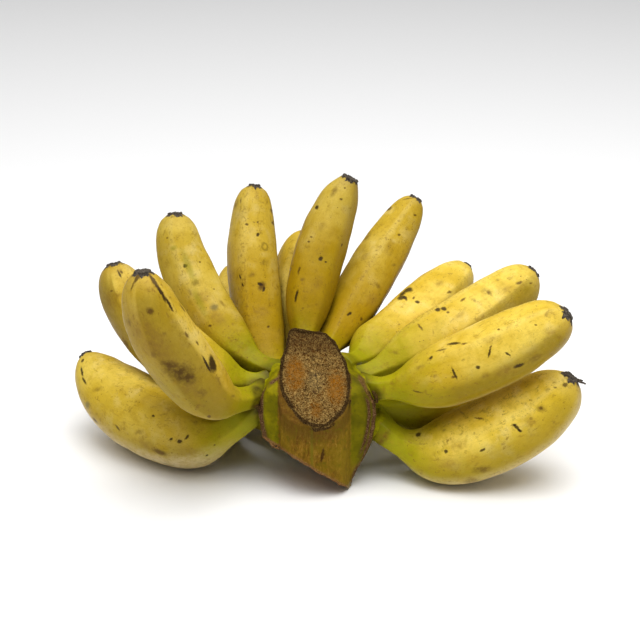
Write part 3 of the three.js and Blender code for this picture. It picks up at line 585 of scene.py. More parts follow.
def end_piece(f, index, material, flap=None):
    """The dried flower end: a dark crust with a torn, uneven edge."""
    rng = np.random.default_rng(500 + index)
    L = f.length
    wide = LOOKS.get(f.name, {}).get("tip", 0.85)
    prof = [(4.6, -1.5), (4.9, -1.1), (4.9, -0.6), (4.75, -0.15), (4.4, 0.15), (3.9, 0.32), (3.1, 0.2), (2.2, 0.05), (1.1, 0.0)]
    n = 72
    phi = np.linspace(0, 2 * np.pi, n, endpoint=False)
    w1 = wave(rng, [2, 3, 5, 7, 11], [0.16, 0.20, 0.16, 0.12, 0.10])
    w2 = wave(rng, [3, 5, 8, 13, 19], [0.22, 0.26, 0.22, 0.20, 0.14])
    w3 = wave(rng, [4, 6, 9, 17], [0.5, 0.45, 0.35, 0.3])
    verts = []
    for q, (r0, h0) in enumerate(prof):
        edge = math.exp(-((q - 4.5) / 1.6) ** 2)
        low = math.exp(-(q / 1.3) ** 2)
        r = r0 * wide + 0.4 * w1(phi) * (0.3 + edge) + 0.10 * rng.normal(0, 1, n) * edge
        h = h0 + 0.42 * edge * (w2(phi) + np.abs(rng.normal(0, 0.16, n))) - low * np.abs(w3(phi)) * 1.1
        if q < 3:   # follows the finger it grows from
            lift = (-0.22, 0.03, 0.07)[q]
            sq = L + np.minimum(h, 0)
            r = fullness(f, sq) + lift
        s = L + h
        c, (tg, nn) = f.at(s), f.frame(s)
        verts.append(c + (r * np.sin(phi))[:, None] * f.across + (r * np.cos(phi))[:, None] * nn)
    verts = np.vstack(verts)
    faces = []
    for i in range(len(prof) - 1):
        for j in range(n):
            k = (j + 1) % n
            faces.append((i * n + j, i * n + k, (i + 1) * n + k, (i + 1) * n + j))
    verts = [*verts, f.at(L + 0.4), f.at(L - 1.4)]
    for j in range(n):
        k = (j + 1) % n
        faces.append((len(verts) - 2, (len(prof) - 1) * n + j, (len(prof) - 1) * n + k))
        faces.append((len(verts) - 1, k, j))
    # torn scales that stand up round the edge
    tg, nn = f.frame(L)
    scales = [(rng.uniform(0, 2 * np.pi), rng.uniform(0.12, 0.30), rng.uniform(0.15, 0.5), 0.0) for _ in range(int(rng.integers(3, 6)))]
    for p, w, h, lean in (flap or []):
        scales.append((math.radians(p), w, h, lean))
    for p, wdt, hgt, lean in scales:
        rows = []
        for v in np.linspace(0, 1, 5):
            row = []
            for u in np.linspace(-1, 1, 6):
                ww = wdt * (1 - 0.75 * v ** 1.5)
                rad = 4.35 * wide + (0.4 + lean) * v + rng.normal(0, 0.12)
                hh = -0.2 + hgt * v * (1 - 0.35 * abs(u)) + rng.normal(0, 0.12)
                a = p + ww * u
                row.append(f.at(L + hh) + rad * math.sin(a) * f.across + rad * math.cos(a) * nn)
            rows.append(row)
        rows = np.array(rows)
        inner = rows - 0.35 * ((rows - f.at(L)) - ((rows - f.at(L)) @ tg)[..., None] * tg) / 4.8
        o = len(verts)
        verts += [*rows.reshape(-1, 3), *inner.reshape(-1, 3)]
        m, w6 = 30, 6
        for i in range(4):
            for j in range(5):
                x = o + i * w6 + j
                faces.append((x, x + 1, x + w6 + 1, x + w6))
                faces.append((x + m, x + w6 + m, x + w6 + 1 + m, x + 1 + m))
        for i in range(4):
            for j, flip in ((0, True), (5, False)):
                x = o + i * w6 + j
                quad = (x, x + w6, x + w6 + m, x + m)
                faces.append(quad if not flip else quad[::-1])
        for j in range(5):
            x = o + 4 * w6 + j
            faces.append((x, x + 1, x + 1 + m, x + m))
            x = o + j
            faces.append((x + m, x + 1 + m, x + 1, x))
    ob = new_piece("look_" + f.name.replace("finger", "end"), verts, faces, material)
    put_vector(ob, "mm", co_of(ob))
    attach(ob, "root")
    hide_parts(f.name.replace("finger", "end"))
    return ob


# ---------------------------------------------------------------------------
# Crown
# ---------------------------------------------------------------------------
# section of the stalk: direction from its axis (degrees), distance (mm)
STALK_RING = [(-180, 17.2), (-165, 17.8), (-155, 19.2), (-145, 20.2), (-135, 20.0), (-122, 19.0), (-110, 18.0),
              (-90, 17.7), (-70, 18.1), (-58, 19.0), (-45, 20.3), (-35, 20.4), (-25, 19.7), (-12, 18.5), (0, 18.0),
              (19, 17.1), (24, 16.7), (39, 16.3), (52, 16.6), (69, 17.0), (88, 16.4), (100, 16.8), (112, 18.5),
              (119, 20.4), (126, 21.5), (130, 20.6), (135, 19.4), (143, 17.9), (150, 17.8), (161, 17.6), (180, 17.2)]
# outline of the cut face, seen from above: direction, distance
CUT_RING = [(-180, 16.9), (-170, 17.0), (-157, 16.9), (-146, 16.1), (-132, 15.9), (-120, 16.5), (-109, 17.1),
            (-98, 17.4), (-84, 18.0), (-69, 18.7), (-57, 18.6), (-46, 18.9), (-37, 19.4), (-26, 19.3), (-10, 18.4),
            (4, 17.7), (19, 17.1), (24, 16.7), (39, 16.3), (52, 16.6), (69, 17.0), (88, 16.4), (100, 16.8),
            (112, 18.3), (119, 20.0), (126, 21.0), (130, 20.2), (135, 19.2), (143, 17.9), (150, 17.6), (161, 17.5), (180, 16.9)]
# outline of the crown's wings, seen from the front: x, z
WINGS = [(-20.6, 60.0), (-23.6, 57.3), (-25.7, 53.6), (-27.0, 48.5), (-28.0, 41.7), (-26.9, 33.9), (-25.0, 27.3),
         (-21.5, 22.6), (-10.8, 14.0), (0.5, 5.0), (10.0, -3.0), (17.6, -2.0),
         (18.2, 3.0), (20.6, 10.7), (24.5, 18.7), (27.6, 26.7), (29.0, 34.4), (29.9, 41.5), (29.2, 47.1),
         (26.6, 52.2), (22.2, 57.3), (17.2, 60.0)]
# bark lips along the wings: x, y, z, radius
LIP_LEFT = [(-17.2, -7.0, 60.6, 0.46), (-19.4, -8.5, 58.9, 0.59), (-22.6, -10.0, 57.0, 0.66), (-25.6, -11.3, 53.6, 0.73), (-27.0, -12.2, 48.5, 0.99),
            (-27.9, -12.7, 41.7, 1.19), (-26.9, -12.9, 33.9, 0.99), (-25.0, -13.1, 27.8, 0.73), (-21.6, -13.8, 23.8, 0.59), (-18.4, -15.6, 23.0, 0.46)]
LIP_RIGHT = [(16.8, -7.0, 60.0, 0.40), (20.2, -8.5, 58.2, 0.53), (22.6, -9.8, 56.9, 0.59), (26.4, -11.0, 52.2, 0.73), (28.9, -12.0, 47.1, 0.79), (29.5, -12.5, 41.5, 0.86),
             (28.7, -12.7, 34.4, 0.92), (27.2, -12.9, 26.7, 0.86), (24.1, -13.1, 18.7, 0.73), (20.4, -13.3, 10.7, 0.66), (17.6, -13.3, 2.5, 0.53)]
LIP_RIGHT_2 = [(23.5, -12.8, 54.0, 0.33), (26.3, -13.4, 48.0, 0.53), (26.9, -13.8, 41.5, 0.59),
               (26.2, -13.9, 34.4, 0.53), (24.6, -13.9, 26.7, 0.40), (21.8, -13.8, 18.7, 0.33)]


def lattice(p, seed):
    """Smooth noise between -1 and 1."""
    table = np.random.default_rng(seed).permutation(256)
    i = np.floor(p).astype(int)
    u = p - i
    u = u * u * (3 - 2 * u)

    def value(dx, dy, dz):
        q = table[(i[:, 0] + dx) & 255]
        q = table[(q + i[:, 1] + dy) & 255]
        return table[(q + i[:, 2] + dz) & 255] / 127.5 - 1
    out = 0
    for dx in (0, 1):
        for dy in (0, 1):
            for dz in (0, 1):
                w = ((u[:, 0] if dx else 1 - u[:, 0]) * (u[:, 1] if dy else 1 - u[:, 1]) * (u[:, 2] if dz else 1 - u[:, 2]))
                out = out + w * value(dx, dy, dz)
    return out


def ring_radius(ring, theta):
    a = np.radians([q[0] for q in ring])
    return np.interp(theta, a, [q[1] for q in ring])


def outline_distance(poly, x, z):
    """Signed distance to a closed outline, negative inside."""
    p = np.array(poly, float)
    best = np.full(x.shape, 1e9)
    inside = np.zeros(x.shape, bool)
    for a, b in zip(p, np.roll(p, -1, 0)):
        e = b - a
        h = np.clip(((x - a[0]) * e[0] + (z - a[1]) * e[1]) / (e @ e), 0, 1)
        best = np.minimum(best, np.hypot(x - a[0] - h * e[0], z - a[1] - h * e[1]))
        hit = ((a[1] > z) != (b[1] > z)) & (x < (b[0] - a[0]) * (z - a[1]) / (b[1] - a[1] + 1e-12) + a[0])
        inside ^= hit
    return np.where(inside, -best, best)


def tube_distance(line, q):
    """Distance from points to a tube along a line of x, y, z, radius."""
    best = np.full(len(q), 1e9)
    for a, b in zip(line[:-1], line[1:]):
        a, b = np.array(a), np.array(b)
        e = b[:3] - a[:3]
        h = np.clip((q - a[:3]) @ e / (e @ e), 0, 1)
        d = np.linalg.norm(q - a[:3] - h[:, None] * e, axis=1) - (a[3] + h * (b[3] - a[3]))
        best = np.minimum(best, d)
    return best


def soft_min(a, b, k):
    h = np.clip(0.5 + 0.5 * (b - a) / k, 0, 1)
    return b + (a - b) * h - k * h * (1 - h)


def cut_line(shrink=0.0, lift=0.0, radius=1.0, start=-180, stop=180, steps=72):
    """A line along the edge of the cut face."""
    th = np.radians(np.linspace(start, stop, steps))
    r = ring_radius(CUT_RING, th) - shrink
    x, y = STALK_X + r * np.cos(th), STALK_Y + r * np.sin(th)
    z = STALK_TOP + TOP_SLOPE * (y - STALK_Y)
    n = np.array([0, -TOP_SLOPE, 1]) / math.hypot(1, TOP_SLOPE)
    p = np.stack([x, y, z], -1) + lift * n
    wob = 0.28 * np.sin(7 * th + 1) + 0.22 * np.sin(13 * th + 2) + 0.18 * np.sin(23 * th)
    return [(*q, radius * (1 + w)) for q, w in zip(p, wob)]


# dark torn scabs beside the wings: x, y, z, radius
SCABS = [[(-29.6, -10.4, 52.5, 0.8), (-30.8, -11.4, 49.6, 1.7), (-30.4, -12.0, 46.6, 1.5), (-28.9, -12.6, 43.8, 0.8)],
         [(28.6, -11.0, 53.0, 0.7), (30.2, -11.2, 50.6, 1.2), (30.6, -11.6, 48.0, 0.8)]]
# brown seam between the right wing and the necks above it: x, z
SEAM = [(16.4, 64.0), (18.2, 62.6), (21.0, 60.0), (24.0, 56.2), (27.1, 51.2), (28.8, 47.0)]
RIM = cut_line(0.6, 0.0, 0.5)
RIM_LOW = cut_line(-0.4, -1.5, 0.5, -150, -25, 40)
GROOVE = cut_line(0.2, -3.4, 1.0, -142, -38, 40)


def crown_parts(q, fingers):
    """Distances of points to the crown's several parts."""
    x, y, z = q[:, 0], q[:, 1], q[:, 2]
    dx, dy = x - STALK_X, y - STALK_Y
    th, rho = np.arctan2(dy, dx), np.hypot(dx, dy)
    stalk = rho - ring_radius(STALK_RING, th)
    oval = rho - ring_radius(CUT_RING, th)
    c = CUSHION
    u = (np.abs((x - c["x"]) / c["rx"]) ** c["power"] + np.abs((y - c["y"]) / c["ry"]) ** c["power"]
         + np.abs((z - c["z"]) / c["rz"]) ** c["power"]) ** (1 / c["power"])
    cushion = (u - 1) * 24
    out2 = outline_distance(WINGS, x, z)
    side = np.clip((np.abs(x - 0.6) - 16.5) / 12, 0, 1)
    front = -14.2 + 2.2 * side ** 1.6
    wing = -soft_min(-out2, -np.maximum(front - y, y + 2.0), 2.0)
    body = soft_min(-soft_min(-cushion, y - front, 2.0), wing, 3.0)
    roots, necks = np.full(len(q), 1e9), np.full(len(q), 1e9)
    for f in fingers:
        t0 = f.along(np.array(0.0))
        base = f.stations[0] - SHIFT
        back = 7.0 if base[1] < 5 else 12.0
        slip = np.array([0.0, 3.6 if base[1] < 5 else 0.0, 0.0])
        a, b = base - back * t0 + slip, base - 5.0 * t0 + slip
        e = b - a
        h = np.clip((q - a) @ e / (e @ e), 0, 1)
        d = np.linalg.norm(q - a - h[:, None] * e, axis=1)
        roots = np.minimum(roots, np.maximum(d - (f.neck + 1.2), -9.5 - y))
        a, b = base - 1.0 * t0, base + 4.0 * t0
        e = b - a
        h = np.clip((q - a) @ e / (e @ e), 0, 1)
        necks = np.minimum(necks, np.linalg.norm(q - a - h[:, None] * e, axis=1) - f.neck)
    low = (LOW_A + LOW_X * x + LOW_Y * y - z) / math.sqrt(1 + LOW_X ** 2 + LOW_Y ** 2)
    top = (z - STALK_TOP - TOP_SLOPE * dy) / math.hypot(1, TOP_SLOPE)
    scabs = np.minimum(tube_distance(SCABS[0], q), tube_distance(SCABS[1], q))
    return dict(stalk=stalk, oval=oval, body=body, roots=roots, necks=necks, low=low, top=top, scabs=scabs,
                lips=np.minimum(tube_distance(LIP_LEFT, q), np.minimum(tube_distance(LIP_RIGHT, q), tube_distance(LIP_RIGHT_2, q))))


def crown_field(q, fingers):
    p = crown_parts(q, fingers)
    mass = soft_min(p["body"], p["roots"], 2.6)
    mass = soft_min(mass, p["stalk"], 0.7)
    mass = np.maximum(mass, p["low"])
    mass = soft_min(mass, p["lips"], 0.5)
    mass = soft_min(mass, p["scabs"], 0.5)
    mass = np.maximum(mass, p["top"])
    near = (p["top"] > -9) & (p["top"] < 4) & (np.abs(p["oval"]) < 6)
    rim, low_rim, groove = np.full(len(q), 9.0), np.full(len(q), 9.0), np.full(len(q), 9.0)
    rim[near] = tube_distance(RIM, q[near])
    low_rim[near] = tube_distance(RIM_LOW, q[near])
    groove[near] = tube_distance(GROOVE, q[near])
    mass = -soft_min(-mass, groove, 0.4)
    mass = soft_min(mass, rim, 0.4)
    mass = soft_min(mass, low_rim, 0.4)
    return np.maximum(mass, -q[:, 2])


def surface_nets(field, origin, step):
    """Quads of the zero surface of a sampled field that is negative inside."""
    inside = field < 0
    corners = [(a, b, c) for a in (0, 1) for b in (0, 1) for c in (0, 1)]
    n = np.array(field.shape) - 1

    def cut(arr, c):
        return arr[c[0]:c[0] + n[0], c[1]:c[1] + n[1], c[2]:c[2] + n[2]]
    count = sum(cut(inside, c).astype(np.int8) for c in corners)
    active = (count > 0) & (count < 8)
    ident = np.full(active.shape, -1)
    ident[active] = np.arange(active.sum())
    cell = np.argwhere(active).astype(float)
    acc, num = np.zeros((len(cell), 3)), np.zeros(len(cell))
    for a in corners:
        for axis in range(3):
            if a[axis]:
                continue
            b = list(a)
            b[axis] = 1
            fa, fb = cut(field, a)[active], cut(field, tuple(b))[active]
            cross = (fa < 0) != (fb < 0)
            t = fa[cross] / (fa[cross] - fb[cross])
            pos = np.tile(np.array(a, float), (cross.sum(), 1))
            pos[:, axis] += t
            acc[cross] += pos
            num[cross] += 1
    verts = (cell + acc / num[:, None]) * step + origin
    quads = []
    for axis, (u, v) in enumerate(((1, 2), (2, 0), (0, 1))):
        lo = [slice(None)] * 3
        hi = [slice(None)] * 3
        lo[axis], hi[axis] = slice(0, -1), slice(1, None)
        a, b = inside[tuple(lo)], inside[tuple(hi)]
        e = np.argwhere(a != b)
        ok = (e[:, u] > 0) & (e[:, v] > 0) & (e[:, u] < n[u]) & (e[:, v] < n[v])
        e = e[ok]
        flip = b[tuple(e.T)]
        ring = []
        for du, dv in ((-1, -1), (0, -1), (0, 0), (-1, 0)):
            c = e.copy()
            c[:, u] += du
            c[:, v] += dv
            ring.append(ident[tuple(c.T)])
        ring = np.stack(ring, -1)
        ring[flip] = ring[flip][:, ::-1]
        quads.append(ring)
    return verts, np.vstack(quads)


def crown_piece(fingers, material):
    step = 0.62
    lo, hi = np.array([-46.0, -29.5, -1.2]), np.array([47.0, 33.0, 81.5])
    n = np.ceil((hi - lo) / step).astype(int) + 1
    axes = [lo[i] + step * np.arange(n[i]) for i in range(3)]
    grid = np.empty(tuple(n), np.float64)
    for i, xv in enumerate(axes[0]):
        Y, Z = np.meshgrid(axes[1], axes[2], indexing="ij")
        q = np.stack([np.full(Y.size, xv), Y.ravel(), Z.ravel()], -1)
        grid[i] = crown_field(q, fingers).reshape(Y.shape)
    verts, quads = surface_nets(grid, lo, step)
    # keep the one body
    parent = np.arange(len(verts))
    for _ in range(60):
        m = parent[quads].min(1)
        before = parent.copy()
        for k in range(4):
            np.minimum.at(parent, quads[:, k], m)
        parent = parent[parent]
        if (parent == before).all():
            break
    main = np.bincount(parent).argmax()
    keep = parent == main
    renum = np.cumsum(keep) - 1
    quads = renum[quads[keep[quads[:, 0]]]]
    verts = verts[keep]
    ob = new_piece("look_crown_stalk", verts + SHIFT, quads, material)
    nrm = np.empty(len(verts) * 3)
    ob.data.vertices.foreach_get("normal", nrm)
    nrm = nrm.reshape(-1, 3)
    p = crown_parts(verts, fingers)
    rim = np.minimum(tube_distance(RIM, verts), tube_distance(RIM_LOW, verts))
    x, y, z = verts.T
    on_face = (p["top"] > -0.9) & (p["oval"] < -0.4)
    on_tan = (p["stalk"] < 0.7) & (p["stalk"] > -1.5) & ~on_face & (rim > 0.3)
    fibres = lattice(np.stack([x / 1.3, y / 1.3, z / 16], -1), 3) * 0.22 + lattice(np.stack([x / 3.2, y / 3.2, z / 30], -1), 4) * 0.42
    lumps = lattice(verts / 7, 5) * 0.5 + lattice(verts / 2.4, 6) * 0.12
    rough = lattice(verts / 1.1, 7) * 0.30 + lattice(verts / 2.6, 8) * 0.35
    grain = lattice(verts / 0.9, 9) * 0.16 + lattice(verts / 2.2, 10) * 0.14
    d = np.where(on_face, grain - 0.6 * np.clip(-p["oval"] / 14, 0, 1), np.where(on_tan, fibres, lumps * 0.7))
    barky = np.clip(1 - np.maximum(np.minimum(np.minimum(p["lips"], p["scabs"]), rim), 0) / 0.6, 0, 1)
    d = d * (1 - barky) + rough * barky
    fringe = np.clip(1 - np.abs(p["low"]) / 1.2, 0, 1) * (z > 0.6)
    d = d + fringe * (lattice(verts / 1.0, 11) * 0.35)
    moved = verts + nrm * d[:, None]
    moved[:, 2] = np.where(verts[:, 2] < 0.4, np.maximum(verts[:, 2], 0.02), np.maximum(moved[:, 2], 0.02))
    ob.data.vertices.foreach_set("co", ((moved + SHIFT) * MM).ravel())
    ob.data.update()
    put_vector(ob, "mm", verts)
    for key in ("stalk", "oval", "body", "roots", "necks", "low", "top", "lips", "scabs"):
        put_value(ob, "d_" + key, np.clip(p[key], -30, 30))
    put_value(ob, "d_rim", np.clip(rim, -30, 30))
    seam = np.full(len(x), 30.0)
    for a, b in zip(SEAM[:-1], SEAM[1:]):
        e = np.subtract(b, a)
        h = np.clip(((x - a[0]) * e[0] + (z - a[1]) * e[1]) / (e @ e), 0, 1)
        seam = np.minimum(seam, np.hypot(x - a[0] - h * e[0], z - a[1] - h * e[1]))
    put_value(ob, "d_seam", np.where(y < -2.0, seam, 30.0))
    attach(ob, "root")
    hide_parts("crown_stalk")
    return ob


# ---------------------------------------------------------------------------
# Materials
# ---------------------------------------------------------------------------
KINDS = {   # colour, strength, outer and inner edge, how ragged
    "dark": (srgb(44, 28, 12), 0.90, 1.40, 0.60, 0.38),
    "brown": (srgb(80, 50, 16), 0.82, 1.50, 0.40, 0.45),
    "bruise": (srgb(98, 70, 18), 0.76, 1.5, 0.30, 0.6),
    "smudge": (srgb(108, 80, 28), 0.62, 1.6, 0.20, 0.6),
    "wash": (srgb(136, 102, 40), 0.46, 1.6, 0.1, 0.6),
    "speck": (srgb(104, 76, 26), 0.76, 1.6, 0.3, 0.9),
    "grey": (srgb(104, 98, 62), 0.66, 1.4, 0.4, 0.3),
    "line": (srgb(58, 38, 14), 0.74, 1.6, 0.4, 0.35),
    "ring": (srgb(112, 92, 26), 0.55, 1.2, 0.8, 0.3),
    "green": (srgb(146, 140, 4), 0.55, 1.6, 0.2, 0.5),
    "split": (srgb(46, 30, 16), 0.95, 1.35, 0.65, 0.22),
    "stain": (srgb(82, 58, 4), 0.94, 1.8, 0.20, 0.5),
}


def peel_material(f, index):
    from mathutils import Matrix
    k = Shader("peel_" + f.name.replace("finger_", ""), roughness=0.42, specular=0.10)
    rng = np.random.default_rng(900 + index)
    fco = k.attr("fco")
    ridge = k.attr("ridge", "Fac")
    under = k.attr("under", "Fac")
    off = tuple(float(v) for v in rng.uniform(-200, 200, 3))
    p = k.vec("ADD", fco, off)
    along = k.t.nodes.new("ShaderNodeSeparateXYZ")
    k.link(fco, along.inputs[0])
    s = along.outputs[2]

    big = k.noise(p, 0.030, 2.0, 0.5)
    mid = k.noise(p, 0.085, 3.0, 0.55)
    fine = k.noise(p, 0.42, 4.0, 0.6)
    grain = k.noise(p, 1.9, 3.0, 0.6)
    stretched = k.vec("MULTIPLY", p, (0.55, 0.55, 0.045))
    streak = k.noise(stretched, 1.0, 3.0, 0.6)

    # golden yellow, deeper in patches, paler and creamier in others
    col = k.mix(k.map(big, 0.36, 0.64), srgb(232, 202, 86), srgb(212, 178, 52))
    col = k.mix(k.math("MULTIPLY", k.map(mid, 0.50, 0.74), 0.60), col, srgb(238, 214, 128))
    col = k.mix(k.math("MULTIPLY", k.map(mid, 0.50, 0.30), 0.45), col, srgb(190, 154, 22))
    col = k.mix(k.math("MULTIPLY", k.map(streak, 0.50, 0.74), 0.22), col, srgb(178, 144, 34))
    # painted highlight: paler along the ridges
    col = k.mix(k.math("MULTIPLY", k.map(ridge, 0.25, 1.0), 0.30), col, srgb(236, 212, 116))
    # painted shade: darker and deeper yellow towards the crown
    much, outer_s, inner_s = CROWN_SHADE.get(f.name, (0.58, 86.0, 28.0))
    crown_shade = k.map(k.math("ADD", s, k.math("MULTIPLY_ADD", mid, 34.0, -17.0)), outer_s, inner_s)
    col = k.mix(k.math("MULTIPLY", crown_shade, much), col, srgb(180, 144, 2))
    # painted shade: the sides and the underside darker and greener, where less light falls
    underside_shade = k.map(k.math("ADD", under, k.math("MULTIPLY_ADD", mid, 0.6, -0.30)), -0.45, 0.50)
    underside_shade_colour = k.mix(k.map(s, 40.0, 95.0), srgb(132, 116, 2), srgb(148, 118, 8))
    col = k.mix(k.math("MULTIPLY", underside_shade, 0.66), col, underside_shade_colour)
    # painted shade: the facets past the chosen ridge darker and greener
    deep = k.math("MULTIPLY", k.attr("deep", "Fac"), k.map(fine, 0.20, 0.60, 0.72, 1.0))
    col = k.mix(k.math("MULTIPLY", deep, 0.72), col, srgb(136, 112, 4))
    # pale bloom underneath: partly the peel's own bloom, partly painted light bounced up from the floor
    underside_dust_and_bounce = k.math("MULTIPLY", k.map(under, DUST_AND_BOUNCE_FROM.get(f.name, 0.50), 0.98), k.map(fine, 0.25, 0.65, 0.35, 0.85))
    col = k.mix(underside_dust_and_bounce, col, srgb(204, 182, 130))
    # the same pale bloom on chosen sides of some fingers, also partly painted light from the floor
    dust = k.math("MULTIPLY", k.attr("dust", "Fac"), k.map(k.noise(p, 0.16, 5.0, 0.7), 0.34, 0.62, 0.20, 0.85))
    col = k.mix(dust, col, srgb(214, 195, 150))
    # green towards the crown
    wob = k.math("MULTIPLY_ADD", mid, 26.0, -13.0)
    g = k.math("ADD", s, wob)
    span = float(GREEN.get(f.name, 1.0))
    tint = k.map(g, 10.0 * span, 50.0 * span, 1.0, 0.0)
    col = k.mix(k.math("MULTIPLY", tint, 0.84), col, srgb(164, 152, 6))
    neck = k.map(g, 0.0, 28.0 * span, 1.0, 0.0)
    col = k.mix(k.math("MULTIPLY", neck, 0.88), col, srgb(138, 136, 4))
    root = k.map(k.math("MULTIPLY_ADD", fine, 5.0, s), 0.0, 9.0, 1.0, 0.0)
    col = k.mix(k.math("MULTIPLY", root, 0.75), col, srgb(108, 104, 4))
    # a faint green cast that lingers on the sides
    cast = k.math("MULTIPLY", k.map(k.noise(p, 0.05, 2.0, 0.5), 0.55, 0.75), k.map(s, 30.0, 80.0, 0.35, 0.08))
    col = k.mix(cast, col, srgb(156, 142, 18))
    # fine dirt in long broken strokes
    mottle = MOTTLE.get(f.name, 1.0)
    dirt = k.noise(k.vec("MULTIPLY", p, (1.0, 1.0, 0.45)), 0.50, 5.0, 0.72, 0.6)
    dirt = k.math("MULTIPLY", k.map(dirt, 0.55, 0.70), k.map(big, 0.35, 0.60, 0.35, 1.0))
    col = k.mix(k.math("MULTIPLY", dirt, 0.60 * mottle), col, srgb(134, 102, 26))
    # dull patches
    dull = k.noise(k.vec("ADD", p, (7.0, 19.0, 3.0)), 0.20, 4.0, 0.66)
    col = k.mix(k.math("MULTIPLY", k.map(dull, 0.52, 0.70), 0.30 * mottle), col, srgb(164, 130, 30))
    # smudges
    sm = k.noise(p, 0.14, 5.0, 0.68, 0.4)
    sm2 = k.noise(p, 0.55, 4.0, 0.7)
    smudge = k.math("MULTIPLY", k.map(sm, 0.53, 0.72), k.map(sm2, 0.38, 0.66))
    col = k.mix(k.math("MULTIPLY", smudge, 0.66 * mottle), col, srgb(126, 94, 24))
    # pores and freckles
    vor = k.t.nodes.new("ShaderNodeTexVoronoi")
    k.link(p, vor.inputs["Vector"])
    vor.inputs["Scale"].default_value = 0.42
    sel = k.t.nodes.new("ShaderNodeSeparateColor")
    k.link(vor.outputs["Color"], sel.inputs[0])
    size = k.map(sel.outputs[0], 0.0, 1.0, 0.07, 0.17)
    dot = k.math("LESS_THAN", vor.outputs["Distance"], size)
    some = k.math("GREATER_THAN", sel.outputs[1], 0.62)
    crowd = k.map(k.noise(p, 0.06, 3.0, 0.6), 0.38, 0.60)
    soft_dot = k.map(vor.outputs["Distance"], 0.20, 0.06)
    freckle = k.math("MULTIPLY", k.math("MULTIPLY", soft_dot, some), crowd)
    col = k.mix(k.math("MULTIPLY", freckle, 0.74), col, srgb(98, 64, 18))
    vor2 = k.t.nodes.new("ShaderNodeTexVoronoi")
    k.link(k.vec("ADD", p, (31.0, 7.0, 11.0)), vor2.inputs["Vector"])
    vor2.inputs["Scale"].default_value = 0.13
    sel2 = k.t.nodes.new("ShaderNodeSeparateColor")
    k.link(vor2.outputs["Color"], sel2.inputs[0])
    rag = k.math("MULTIPLY_ADD", sm2, 0.34, k.math("ADD", vor2.outputs["Distance"], -0.17))
    blot = k.math("MULTIPLY", k.map(rag, 0.13, 0.03), k.math("GREATER_THAN", sel2.outputs[1], 0.74))
    col = k.mix(k.math("MULTIPLY", blot, 0.50), col, srgb(92, 60, 20))
    # rubbed ridges
    worn = k.math("MULTIPLY", k.map(ridge, 0.55, 1.0), k.map(sm2, 0.50, 0.66))
    col = k.mix(k.math("MULTIPLY", worn, 0.48), col, srgb(112, 80, 28))

    # the marks of this finger
    warp = k.vec("ADD", fco, k.vec("SCALE", k.vec("SUBTRACT", k.noise(p, 0.9, 2.0, 0.6, colour=True), (0.5, 0.5, 0.5)), scale=1.1))
    total = None
    for (sm_, deg, hl, hw, slant, kind) in MARKS.get(f.name, []):
        colour, strength, outer, inner, ragged = KINDS[kind]
        a = math.radians(deg)
        r = float(f.thickness(sm_))
        e_phi = np.array([math.cos(a), -math.sin(a), 0.0])
        e_r = np.array([math.sin(a), math.cos(a), 0.0])
        e_s = np.array([0.0, 0.0, 1.0])
        sl = math.radians(slant)
        longa = math.cos(sl) * e_s + math.sin(sl) * e_phi
        wide = np.cross(e_r, longa)
        mp = k.t.nodes.new("ShaderNodeMapping")
        mp.vector_type = "TEXTURE"
        k.link(warp, mp.inputs["Vector"])
        mp.inputs["Location"].default_value = (r * math.sin(a), r * math.cos(a), sm_)
        mat = Matrix((tuple(wide), tuple(e_r), tuple(longa))).transposed()
        mp.inputs["Rotation"].default_value = mat.to_euler("XYZ")
        mp.inputs["Scale"].default_value = (max(hw * (1.3 if kind == "split" else 1.0), 0.35), max(3.0, 0.7 * hl), max(hl, 0.4))
        d = k.vec("LENGTH", mp.outputs[0])
        d = k.math("ADD", d, k.math("MULTIPLY_ADD", sm2, ragged * 2.0, -ragged))
        m = k.map(d, outer, inner)
        if kind == "ring":
            m = k.math("MULTIPLY", m, k.map(d, 0.35, 0.72))
        if kind == "speck":
            m = k.math("MULTIPLY", m, k.map(k.noise(p, 1.5, 3.0, 0.7), 0.52, 0.62))
        if kind in ("bruise", "smudge", "wash", "stain"):
            m = k.math("MULTIPLY", m, k.map(fine, 0.30, 0.62, 0.35, 1.0))
        m = k.math("MULTIPLY", m, strength)
        col = k.mix(m, col, colour)
        if kind in ("dark", "brown", "line", "split"):
            total = m if total is None else k.math("MAXIMUM", total, m)

    # painted shade in the creases between neighbours
    gap = k.math("MULTIPLY", k.attr("gap", "Fac"), k.map(fine, 0.25, 0.70, 0.70, 1.0))
    col = k.mix(k.math("MULTIPLY", k.math("POWER", gap, 1.3), 0.86), col, srgb(56, 42, 4))

    # the peel darkens just before the dried end
    tip = k.math("ADD", k.math("SUBTRACT", s, f.length), k.math("MULTIPLY_ADD", sm2, 5.0, -2.5))
    col = k.mix(k.math("MULTIPLY", k.map(tip, -2.2, -0.2), 0.85), col, srgb(66, 48, 24))
    col = k.mix(k.math("MULTIPLY", k.map(tip, -9.0, -3.0), 0.25), col, srgb(160, 128, 46))
